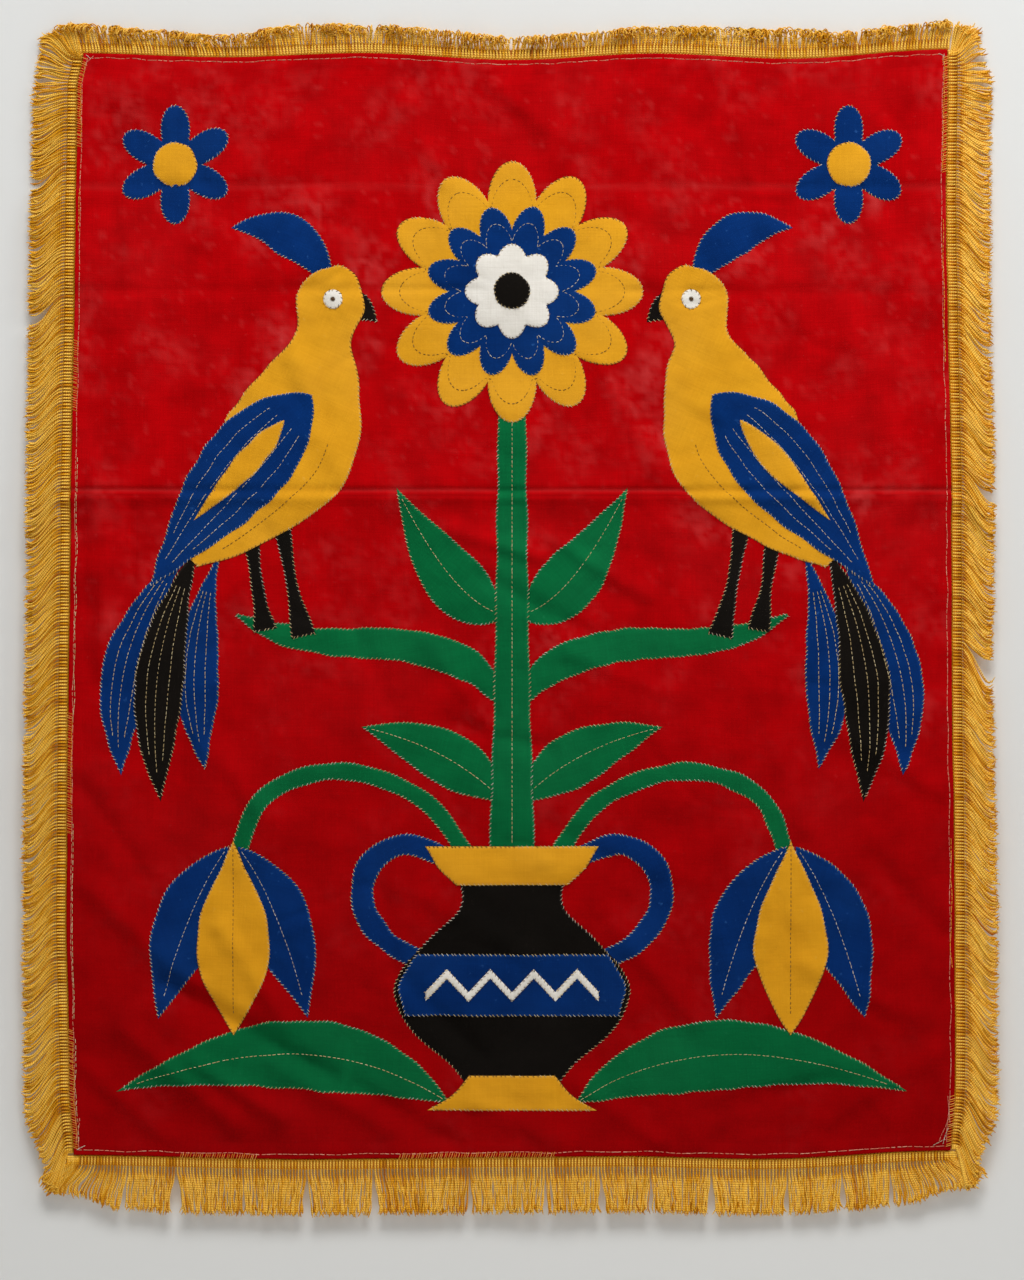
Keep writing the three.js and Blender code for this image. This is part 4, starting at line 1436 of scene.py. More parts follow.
@dataclass
class Applique:
    """All the shapes sewn on the panel, stacked in layers, with the threads that hold them."""

    hanging: Hanging
    shapes: list[Shape] = field(default_factory=list)
    bases: dict[int, Array] = field(default_factory=dict)

    def __post_init__(self) -> None:
        """Lists the shapes and stacks them."""
        for row in LEAVES:
            for mirror in Mirror:
                name, cloth, layer, half, widest, root, bend, tip, turn = row
                common = (name, cloth, layer, mirror, self.next_seed(), turn * mirror.value)
                self.shapes.append(Leaf(*common, half=half, widest=widest, root=root, bend=bend, tip=tip))
        for name, cloth, layer, paired, turn, sections in BANDS:
            for mirror in Mirror if paired else (None,):
                common = (name, cloth, layer, mirror, self.next_seed(), turn)
                self.shapes.append(Band(*common, sections=table("x y half", *sections)))
        for name, cloth, layer, paired, x, y, reach, waist, lobes, twist, roundness in ROSETTES:
            for mirror in Mirror if paired else (None,):
                common = (name, cloth, layer, mirror, self.next_seed(), 0.0)
                size = {"x": x, "y": y, "reach": reach, "waist": waist}
                lobed = {"lobes": lobes, "twist": twist, "roundness": roundness}
                self.shapes.append(Rosette(*common, **size, **lobed))
        self.shapes.append(Zigzag("zigzag", Cloth.WHITE, 5, None, self.next_seed()))
        self.stack()

    def next_seed(self) -> int:
        """A seed of its own for each shape."""
        return 100 + len(self.shapes)

    @staticmethod
    def crown(distance: Array) -> Array:
        """A shape's height above what it lies on: a round edge of one layer, a soft crown, and a
        low ridge where the turned-under edge ends.

        Args:
            distance: distances inside the edge.

        Returns:
            Heights in millimetres.
        """
        edge = LAYER_STEP * (1 - np.exp(-distance / EDGE_ROUND))
        puff = PUFF * (1 - bell(distance, 0.0, PUFF_REACH))
        turned = 0.16 * bell(distance, 3.6, 1.4)
        return EDGE_LIFT + edge + puff + turned

    def stack(self) -> None:
        """Lays the layers on each other: a layer lies on the one below, spread and softened so
        that it bridges that one's edges, and adds its crown."""
        raster = self.hanging.raster
        for layer in range(1, 7):
            inside = np.zeros(self.hanging.top.shape, bool)
            for shape in self.shapes:
                if shape.layer == layer:
                    inside |= raster.fill(shape.hung_outline())
            base = raster.soften(raster.spread(self.hanging.top, BRIDGE), 2.2)
            base = np.where(self.hanging.top > 0, np.maximum(base, self.hanging.top), base)
            self.bases[layer] = raster.soften(base, 1.0)
            crown = self.crown(raster.depth_inside(inside, 14))
            self.hanging.top = np.where(inside, self.bases[layer] + crown, self.hanging.top)
            self.hanging.layer = np.where(inside, layer, self.hanging.layer)
        sewn = (self.hanging.layer > 0).astype(float)
        self.hanging.under = smooth((raster.soften(sewn, 2.0) - 0.6) / 0.35)

    def shape_surface(self, shape: Shape) -> Surface:
        """A shape's surface: its grid, hung on the cloth at its layer's height, drawn down a
        little at each whip stitch.

        Args:
            shape: the shape.

        Returns:
            The surface, its flat place turned by the grain.
        """
        places, distance, closed = shape.grid()
        x, z = shape.hung(places)
        base = self.hanging.raster.sample(self.bases[shape.layer], x, z)
        edge = places[:, 0]
        arc = lengths_along(edge)
        pinch = 0.5 + 0.5 * np.cos(2 * math.pi * arc / WhipStitches.pitch)
        pull = 0.22 * np.exp(-distance / 2.2) * pinch[:, None]
        points = self.hanging.place(x, z, CLOTH_FRONT + base + self.crown(distance) - pull)
        turn = math.radians(shape.turn)
        middle = np.array([math.cos(turn), math.sin(turn)])
        across = np.array([-math.sin(turn), math.cos(turn)])
        shifted = np.stack([x, z], axis=-1) + 37.0 * shape.seed
        flat = np.stack([shifted @ middle, shifted @ across], axis=-1) * MM
        worn = 0.3 * bell(distance, 0.9, 0.7)
        return Surface(points, flat, {"worn": worn, "soil": 0.6 * self.hanging.soil(z)}, closed)

    def build(self) -> list[bpy.types.Object]:
        """Makes every shape as a sheet of its own.

        Returns:
            The objects.
        """
        pieces = []
        for shape in self.shapes:
            surface = self.shape_surface(shape).facing_front()
            piece = make_surface(shape.node_name, surface, merge=True)
            piece.name = f"sewn_{shape.node_name}"
            dress(piece, shape.cloth.value, (shape.node_name,))
            self.declare(piece, shape)
            pieces.append(piece)
        return pieces

    @staticmethod
    def declare(piece: bpy.types.Object, shape: Shape) -> None:
        """Works out the shape's cut size and area for its sheet; nothing is done with them.

        Args:
            piece: the object; not used.
            shape: the shape.
        """
        outline = shape.outline()
        x, y = outline[:, 0], outline[:, 1]
        area = abs(np.dot(x, np.roll(y, 1)) - np.dot(y, np.roll(x, 1))) / 2
        width, length = shape.cut()
        width = max(width, 10.0)
        area = float(np.clip(area, 0.3 * width * length, width * length))
        size, area = (width * MM, length * MM), area * MM * MM


@dataclass
class Stitches:
    """Threads laid as short bent tubes, gathered by yarn so that each yarn is one mesh."""

    hanging: Hanging
    label: str
    radius: float
    paths: dict[Yarn, list[Array]] = field(default_factory=dict)
    sides: int = 3

    def add(self, yarn: Yarn, paths: Array) -> None:
        """Keeps a set of paths in metres for one yarn."""
        if len(paths):
            self.paths.setdefault(yarn, []).append(paths)

    def lay(self, yarn: Yarn, x: Array, z: Array, height: Array) -> None:
        """Lays threads through places in millimetres, at heights above the cloth's front."""
        self.add(yarn, self.hanging.place(x, z, CLOTH_FRONT + height))

    def running(
        self, yarn: Yarn, line: Array, pitch: float, stitch: float, seed: int, lift: float = 0.0
    ) -> None:
        """Running stitches along a line: each rises from the cloth, lies on it and dips back in.

        Args:
            yarn: the thread.
            line: the line's points, x and z in millimetres.
            pitch: from one stitch's start to the next's.
            stitch: a stitch's length.
            seed: for the hand's unevenness.
            lift: how far loose stitches stand up.
        """
        rng = np.random.default_rng(seed)
        arc = lengths_along(line)
        count = int(arc[-1] / pitch)
        if count < 1:
            return
        start = (np.arange(count) + rng.uniform(-0.12, 0.12, count)) * pitch + pitch * 0.3
        length = stitch * rng.uniform(0.8, 1.1, count)
        shares = np.array([0.0, 0.14, 0.5, 0.86, 1.0])
        at = start[:, None] + length[:, None] * shares
        x = np.interp(at, arc, line[:, 0])
        z = np.interp(at, arc, line[:, 1])
        lean = rng.uniform(-0.35, 0.35, (count, 1)) * (shares - 0.5)
        rise = np.array([-0.35, 0.1, 0.28, 0.1, -0.35]) + lift * np.sin(math.pi * shares)
        top = self.hanging.raster.sample(self.hanging.top, x, z)
        self.lay(yarn, x + lean, z + lean, top + rise)

    def build(self) -> None:
        """Makes one mesh for each yarn."""
        for yarn, groups in self.paths.items():
            for steps in sorted({group.shape[1] for group in groups}):
                paths = np.concatenate([group for group in groups if group.shape[1] == steps])
                rng = np.random.default_rng(steps)
                tone = rng.uniform(0.35, 0.95, len(paths))
                across = np.array([0.0, -1.0, 0.0])
                tubes = Tubes(paths, np.array([self.radius * MM]), self.sides, across, tone)
                piece = tubes.build(f"{self.label}_{yarn.name.lower()}_{steps}")
                dress(piece, yarn.value)


# The threads used on each cloth's edge: the usual one, and one that comes now and then
EDGE_THREADS = {
    Cloth.YELLOW: (Yarn.STRAW, Yarn.DARK, 0.45),
    Cloth.BLUE: (Yarn.PALE, Yarn.STRAW, 0.45),
    Cloth.GREEN: (Yarn.STRAW, Yarn.PALE, 0.4),
    Cloth.BLACK: (Yarn.STRAW, Yarn.PALE, 0.4),
    Cloth.WHITE: (Yarn.DARK, Yarn.STRAW, 0.5),
}


@dataclass
class WhipStitches:
    """Whip stitches over the edges of the shapes: each comes up inside the edge, goes over it
    on a slant and down just outside."""

    applique: Applique
    stitches: Stitches
    pitch: float = 4.6
    inside: float = 1.5
    outside: float = 0.8
    slant: float = 2.2
    # How far inside and outside the edge it is looked whether the edge shows
    look_in: float = 2.2
    look_out: float = 1.8

    def sew(self) -> None:
        """Sews round every shape, where its edge shows."""
        for shape in self.applique.shapes:
            self.sew_round(shape)

    def sew_round(self, shape: Shape) -> None:
        """Sews round one shape.

        Args:
            shape: the shape.
        """
        outline = shape.hung_outline()
        closed = np.vstack([outline, outline[:1]])
        arc = lengths_along(closed)
        count = max(int(arc[-1] / self.pitch), 6)
        rng = np.random.default_rng(shape.seed + 500)
        at = (np.arange(count) + rng.uniform(-0.22, 0.22, count)) * arc[-1] / count
        edge = np.stack([np.interp(at, arc, closed[:, i]) for i in (0, 1)], axis=1)
        ahead = np.stack([np.interp((at + 1.5) % arc[-1], arc, closed[:, i]) for i in (0, 1)], axis=1)
        way = ahead - edge
        way /= np.linalg.norm(way, axis=1, keepdims=True) + 1e-9
        x, z = closed[:-1, 0], closed[:-1, 1]
        turning = np.sign(np.dot(x, np.roll(z, -1)) - np.dot(z, np.roll(x, -1)))
        inward = turning * np.stack([-way[:, 1], way[:, 0]], axis=1)
        raster, hanging = self.applique.hanging.raster, self.applique.hanging
        inner = edge + self.look_in * inward
        outer = edge - self.look_out * inward
        own = raster.nearest(hanging.layer, inner[:, 0], inner[:, 1]) == shape.layer
        clear = raster.nearest(hanging.layer, outer[:, 0], outer[:, 1]) < shape.layer
        shown = own & clear
        high = raster.sample(hanging.top, inner[:, 0], inner[:, 1])
        low = raster.sample(hanging.top, outer[:, 0], outer[:, 1])
        reach = np.array([self.inside, 0.55 * self.inside, -0.1, -self.outside])
        drift = np.array([0.5, 0.25, -0.15, -0.5]) * self.slant
        points = edge[:, None] + inward[:, None] * reach[None, :, None] + way[:, None] * drift[None, :, None]
        rise = np.stack([high - 0.35, high + 0.22, (high + low) / 2 + 0.5, low - 0.3], axis=1)
        usual, other, share = EDGE_THREADS[shape.cloth]
        stretch = np.sin(at / 47.0 + shape.seed) + rng.uniform(-0.5, 0.5, count)
        often = stretch < np.quantile(stretch, 1 - share)
        for yarn, chosen in ((usual, often), (other, ~often)):
            take = shown & chosen
            self.stitches.lay(yarn, points[take, :, 0], points[take, :, 1], rise[take])


@dataclass(frozen=True)
class SecondThread:
    """A thread sewn again down one side, over some stretches of its hem.

    Attributes:
        yarn: the thread.
        across: places across the panel at each stretch's start and end, in millimetres.
        stretches: where each starts and ends below the top hem.
        pitch: from one stitch's start to the next's.
        stitch: a stitch's length.
        sway: how far the line strays.
        lift: how far its stitches stand up.
        seed: for its unevenness.
    """

    yarn: Yarn
    across: tuple[float, float]
    stretches: tuple[tuple[float, float], ...]
    pitch: float
    stitch: float
    sway: float
    lift: float
    seed: int


LEFT_AGAIN = ((8, 92), (140, 190), (690, 780), (1030, 1138))
RIGHT_AGAIN = ((6, 128), (176, 330), (820, 960))
LEFT_INNER = ((420, 700), (800, 1010), (1024, 1138))
SECOND_THREADS = (
    SecondThread(Yarn.ORANGE, (3.6, 3.9), LEFT_AGAIN, 4.2, 4.0, 1.0, 0.5, 80),
    SecondThread(Yarn.ORANGE, (CLOTH_WIDTH - 3.2, CLOTH_WIDTH - 3.6), RIGHT_AGAIN, 4.4, 4.0, 1.0, 0.5, 100),
    SecondThread(Yarn.STRAW, (HEM_STITCH + 1.6, HEM_STITCH + 1.2), LEFT_INNER, 6.4, 5.2, 0.8, 0.2, 90),
)

# Stretches of close stitches over the hem: start and end on its fold, and the way to the cloth
OVERCAST = (
    ((0, 6), (0, 96), (1, 0)),
    ((0, 300), (0, 372), (1, 0)),
    ((0, 688), (0, 812), (1, 0)),
    ((0, 1016), (0, 1140), (1, 0)),
    ((CLOTH_WIDTH, 8), (CLOTH_WIDTH, 128), (-1, 0)),
    ((CLOTH_WIDTH, 1090), (CLOTH_WIDTH, 1142), (-1, 0)),
    ((112, CLOTH_HEIGHT), (190, CLOTH_HEIGHT), (0, -1)),
    ((340, CLOTH_HEIGHT), (500, CLOTH_HEIGHT), (0, -1)),
)

# Mends at the corners, each a short row of stitches from one place to another
TACKS = (
    ((2, 1), (10, 7)),
    ((2, 11), (9, 3)),
    ((CLOTH_WIDTH - 10, 4), (CLOTH_WIDTH - 3, 8)),
    ((CLOTH_WIDTH - 3, 3), (CLOTH_WIDTH - 6, 12)),
    ((CLOTH_WIDTH - 20, CLOTH_HEIGHT - 5), (CLOTH_WIDTH - 5, CLOTH_HEIGHT - 12)),
    ((CLOTH_WIDTH - 14, CLOTH_HEIGHT - 7), (CLOTH_WIDTH - 4, CLOTH_HEIGHT - 34)),
    ((CLOTH_WIDTH - 9, CLOTH_HEIGHT - 6), (CLOTH_WIDTH - 3, CLOTH_HEIGHT - 24)),
    ((CLOTH_WIDTH - 3, CLOTH_HEIGHT - 28), (CLOTH_WIDTH - 6, CLOTH_HEIGHT - 58)),
    ((2, CLOTH_HEIGHT - 4), (12, CLOTH_HEIGHT - 10)),
    ((3, CLOTH_HEIGHT - 12), (7, CLOTH_HEIGHT - 40)),
)


@dataclass
class HemStitches:
    """The running lines that hold the hems and the fringe's heading, and the loose and mended
    stretches along them."""

    hanging: Hanging
    stitches: Stitches

    def line(self, corners: tuple[tuple[float, float], ...], seed: int, sway: float = 0.7) -> Array:
        """A hand-sewn line through places on the panel.

        Args:
            corners: places across the panel and down it, in millimetres from its top left corner.
            seed: for its unevenness.
            sway: how far it strays.

        Returns:
            The line's points, x and z.
        """
        knots = np.array(corners, float)
        arc = lengths_along(knots)
        at = np.linspace(0, arc[-1], max(int(arc[-1] / 4), 4))
        across = np.interp(at, arc, knots[:, 0])
        down = np.interp(at, arc, knots[:, 1])
        strays = wobble(at / arc[-1], arc[-1], sway, seed)
        upright = abs(knots[-1, 1] - knots[0, 1]) > abs(knots[-1, 0] - knots[0, 0])
        across = across + (strays if upright else 0)
        down = down + (0 if upright else strays)
        return np.stack(self.hanging.on_panel(across / CLOTH_WIDTH, down), axis=1)

    def sew(self) -> None:
        """Sews the lines all round, then the second threads and close stitches, then the mends."""
        inset = HEM_STITCH
        right, bottom = CLOTH_WIDTH - inset, CLOTH_HEIGHT - inset
        sides = (
            ((inset, inset), (right, inset)),
            ((right, inset), (right, bottom)),
            ((right, bottom), (inset, bottom)),
            ((inset, bottom), (inset, inset)),
        )
        for i, ends in enumerate(sides):
            self.stitches.running(Yarn.PINK, self.line(ends, 60 + i), 5.6, 4.7, 70 + i)
        for thread in SECOND_THREADS:
            for i, (start, end) in enumerate(thread.stretches):
                ends = ((thread.across[0], start), (thread.across[1], end))
                line = self.line(ends, thread.seed + i, thread.sway)
                seed = thread.seed + 4 + i
                self.stitches.running(thread.yarn, line, thread.pitch, thread.stitch, seed, thread.lift)
        for i, (start, end, inward) in enumerate(OVERCAST):
            self.overcast(start, end, inward, 150 + i)
        self.mend()

    def overcast(
        self, start: tuple[float, float], end: tuple[float, float], inward: tuple[float, float], seed: int
    ) -> None:
        """Sews close stitches over a hem, from the heading into the red cloth.

        Args:
            start: where they start on the hem's fold, across the panel and down it, in millimetres.
            end: where they end.
            inward: which way the cloth lies from the fold.
            seed: for their unevenness.
        """
        rng = np.random.default_rng(seed)
        first, last = np.array(start, float), np.array(end, float)
        span = np.linalg.norm(last - first)
        forward = (last - first) / span
        count = int(span / 2.4)
        lean = np.array([-1.1, -0.4, 0.4, 1.1])
        at = np.linspace(0, span, count)[:, None] + rng.uniform(-0.6, 0.6, (count, 1)) + lean
        inset = np.array([-1.4, 0.3, 2.6, 5.0]) + rng.uniform(-0.8, 0.8, (count, 1))
        spots = first + at[..., None] * forward + inset[..., None] * np.array(inward)
        x, z = self.hanging.on_panel(spots[..., 0] / CLOTH_WIDTH, spots[..., 1])
        rise = np.broadcast_to(np.array([-0.6, 0.6, 0.5, -0.4]), x.shape)
        self.stitches.lay(Yarn.ORANGE, x, z, rise)

    def mend(self) -> None:
        """Crossed and crumpled stitches at the four corners, most of them at the lower right."""
        for i, ends in enumerate(TACKS):
            yarn = Yarn.PINK if i % 2 else Yarn.PALE
            self.stitches.running(yarn, self.line(ends, 110 + i, 1.6), 3.6, 3.8, 130 + i, 0.45)


def barbs(shares: tuple[float, ...], start: float, end: float, shorter: float) -> tuple[Line, ...]:
    """Lines side by side along a feather, each its share, start and end: outer ones end sooner."""
    return tuple((share, start, end - shorter * abs(share)) for share in shares)


# Lines along the shapes: the shape, the thread, and each line's share of the way from the middle
# to the edge, its start and its end
VEIN = ((0.0, 0.06, 0.9),)
BELL_RIB = ((0.0, 0.1, 0.86),)
TAIL_BARBS = barbs((-0.4, 0.1, 0.5), 0.25, 0.86, 0.1)
WING_BARBS = barbs((-0.62, -0.3, 0.3, 0.62), 0.22, 0.9, 0.2)
VEINS = (
    ("leaf_upper", Yarn.STRAW, VEIN),
    ("leaf_lower", Yarn.STRAW, VEIN),
    ("leaf_base", Yarn.STRAW, VEIN),
    ("tail_outer", Yarn.STRAW, TAIL_BARBS),
    ("tail_inner", Yarn.STRAW, TAIL_BARBS),
    ("tail_middle", Yarn.STRAW, TAIL_BARBS),
    ("wing", Yarn.PALE, WING_BARBS),
    ("bell_inner", Yarn.PALE, BELL_RIB),
    ("bell_outer", Yarn.PALE, BELL_RIB),
    ("bell_middle", Yarn.DARK, BELL_RIB),
    ("bird_body", Yarn.DARK, ((0.5, 0.48, 0.95), (-0.55, 0.5, 0.9))),
    ("trunk", Yarn.STRAW, ((0.0, 0.03, 0.97),)),
)


@dataclass
class QuiltLines:
    """Running lines sewn on the shapes themselves: leaf veins, feathers and the flower's rings."""

    applique: Applique
    stitches: Stitches

    def by_name(self, name: str) -> list[Shape]:
        """The shapes of one name."""
        return [shape for shape in self.applique.shapes if shape.name == name]

    def along(self, shape: Leaf | Band, yarn: Yarn, share: float, start: float, end: float) -> None:
        """Sews a line along a shape, part of the way from its middle to its edge.

        Args:
            shape: a leaf or a band.
            yarn: the thread.
            share: 0 on the middle line, 1 or -1 at an edge.
            start: where the line starts, as a share of the shape's length.
            end: where it ends.
        """
        middle, half = shape.line()
        places = middle + normals(middle) * (half * share)[:, None]
        first, last = int(start * len(places)), int(end * len(places))
        x, z = shape.hung(places[first:last])
        self.sew_shown(shape, yarn, np.stack([x, z], axis=1))

    def sew_shown(self, shape: Shape, yarn: Yarn, line: Array) -> None:
        """Sews the stretch of a line where its shape isn't covered.

        Args:
            shape: the shape.
            yarn: the thread.
            line: the line's points, x and z.
        """
        hanging = self.applique.hanging
        shown = hanging.raster.nearest(hanging.layer, line[:, 0], line[:, 1]) == shape.layer
        if shown.sum() > 3:
            self.stitches.running(yarn, line[shown], 4.8, 3.4, shape.seed + 300)

    def ring(self, shape: Rosette, yarn: Yarn, share: float) -> None:
        """Sews a ring round a rosette.

        Args:
            shape: the rosette.
            yarn: the thread.
            share: the ring's share of the radius.
        """
        angle = np.linspace(0, 2 * math.pi, 240)
        out = (shape.radius(angle) * share)[:, None]
        places = np.array([shape.x, shape.y]) + out * np.stack([np.sin(angle), np.cos(angle)], axis=1)
        self.sew_shown(shape, yarn, np.stack(shape.hung(places), axis=1))

    def spokes(self, shape: Rosette, yarn: Yarn, inner: float, outer: float, count: int) -> None:
        """Sews short lines outwards between a rosette's lobes.

        Args:
            shape: the rosette.
            yarn: the thread.
            inner: where they start, from the middle.
            outer: where they end.
            count: how many.
        """
        for i in range(count):
            angle = 2 * math.pi * (i + 0.5) / count + math.radians(shape.twist)
            out = np.linspace(inner, outer, 24)[:, None]
            places = np.array([shape.x, shape.y]) + out * np.array([math.sin(angle), math.cos(angle)])
            self.sew_shown(shape, yarn, np.stack(shape.hung(places), axis=1))

    def knot(self, shape: Rosette) -> None:
        """Crosses dark stitches over the middle of a shape, for an eye.

        Args:
            shape: the shape.
        """
        share = np.linspace(-1, 1, 5)
        for turn in range(6):
            angle = math.pi * turn / 6
            reach = 2.6 * share[:, None] * np.array([math.cos(angle), math.sin(angle)])
            x, z = shape.hung(np.array([shape.x, shape.y]) + reach)
            top = self.applique.hanging.raster.sample(self.applique.hanging.top, x, z)
            rise = top + 0.75 - 0.9 * share**2
            self.stitches.lay(Yarn.DARK, x[None], z[None], rise[None])

    def sew(self) -> None:
        """Sews the lines of every shape that has them."""
        for name, yarn, lines in VEINS:
            for shape in self.by_name(name):
                for share, start, end in lines:
                    self.along(shape, yarn, share, start, end)
        for shape in self.by_name("bird_eye"):
            self.knot(shape)
        for shape in self.by_name("flower_outer"):
            self.ring(shape, Yarn.DARK, 0.86)
            self.spokes(shape, Yarn.DARK, 66, 94, shape.lobes)
        for shape in self.by_name("flower_inner"):
            self.ring(shape, Yarn.PALE, 0.8)
        for shape in self.by_name("corner_flower"):
            self.spokes(shape, Yarn.PALE, 26, 40, shape.lobes)


class Side(Enum):
    """The flag's four edges: the way out of each and along it, as x and z."""

    LEFT = ((-1.0, 0.0), (0.0, -1.0))
    RIGHT = ((1.0, 0.0), (0.0, -1.0))
    TOP = ((0.0, 1.0), (1.0, 0.0))
    BOTTOM = ((0.0, -1.0), (1.0, 0.0))


# Stations along each hem, as in the part: how far the tips reach from the hem, how far they slide
# along it, and the opening between two tufts at their tips
TUFT_COLUMNS = "at reach slide gap"
TUFTS = {
    Side.LEFT: table(
        TUFT_COLUMNS,
        (2, 46, -17, 0),
        (50, 49, 10, 3),
        (112, 49, 21, 7),
        (182, 50, 23, 4),
        (252, 50, 26, 8),
        (335, 50, 27, 3),
        (419, 49, 25, 3),
        (512, 48, 27, 3),
        (606, 48, 27, 3),
        (680, 48, 27, 7),
        (772, 48, 27, 4),
        (876, 47, 25, 3),
        (979, 48, 25, 3),
        (1062, 50, 31, 3),
        (1132, 31, 34, 0),
    ),
    Side.RIGHT: table(
        TUFT_COLUMNS,
        (2, 34, -19, 0),
        (32, 48, 4, 3),
        (97, 48, 17, 3),
        (175, 48, 25, 3),
        (284, 47, 29, 8),
        (356, 48, 29, 3),
        (439, 47, 29, 9),
        (533, 46, 29, 3),
        (618, 44, 33, 18),
        (699, 46, 31, 3),
        (792, 46, 29, 3),
        (896, 47, 28, 3),
        (990, 46, 29, 3),
        (1067, 47, 33, 3),
        (1130, 30, 34, 0),
    ),
    Side.TOP: table(
        TUFT_COLUMNS,
        (-452, 29, -8, 0),
        (-376, 26, -9, 3),
        (-308, 22, -9, 7),
        (-220, 30, -4, 3),
        (-157, 28, 0, 3),
        (-75, 27, 0, 3),
        (-4, 23, 0, 9),
        (71, 24, 0, 3),
        (143, 27, 2, 3),
        (226, 29, 0, 3),
        (299, 30, 0, 3),
        (341, 24, 0, 4),
        (403, 26, 4, 3),
        (452, 29, 6, 0),
    ),
    Side.BOTTOM: table(
        TUFT_COLUMNS,
        (-450, 42, -18, 0),
        (-402, 58, -4, 3),
        (-349, 60, 0, 10),
        (-282, 60, 0, 3),
        (-213, 60, 0, 8),
        (-143, 60, 1, 7),
        (-44, 60, 0, 6),
        (34, 60, 0, 6),
        (91, 60, 1, 6),
        (143, 60, 0, 6),
        (209, 60, 0, 7),
        (286, 60, 0, 6),
        (344, 59, 0, 6),
        (395, 58, 3, 5),
        (450, 42, 18, 0),
    ),
}


# Shares of a strand's length at which it leaves the heading and at which its tip starts to hook
FREE_FROM = 0.2
HOOK_FROM = 0.84


@dataclass
class Layer:
    """One layer of a fringe's strands. Every layer leaves the heading at the same ribs.

    Attributes:
        forward: how far in front of the heading it lies.
        seed: for its unevenness.
        rib: the strands' radius in the heading.
        shift: how far they spread along the hem from their ribs.
        reach_change: how much longer they are than the stations say.
        plump: how thick they are beside the front ones.
    """

    forward: float
    seed: int
    rib: float
    shift: float
    reach_change: float = 0.0
    plump: float = 1.0


@dataclass
class Fan:
    """Strands that spread from one end of a fringe, round a corner of the flag.

    Attributes:
        at: their place along the hem.
        count: how many.
        reach: how far the first and the last one reach out.
        slide: how far those slide along the hem.
        spread: how far their roots lie from the place.
    """

    at: float
    count: int
    reach: tuple[float, float]
    slide: tuple[float, float]
    spread: float = 2.0


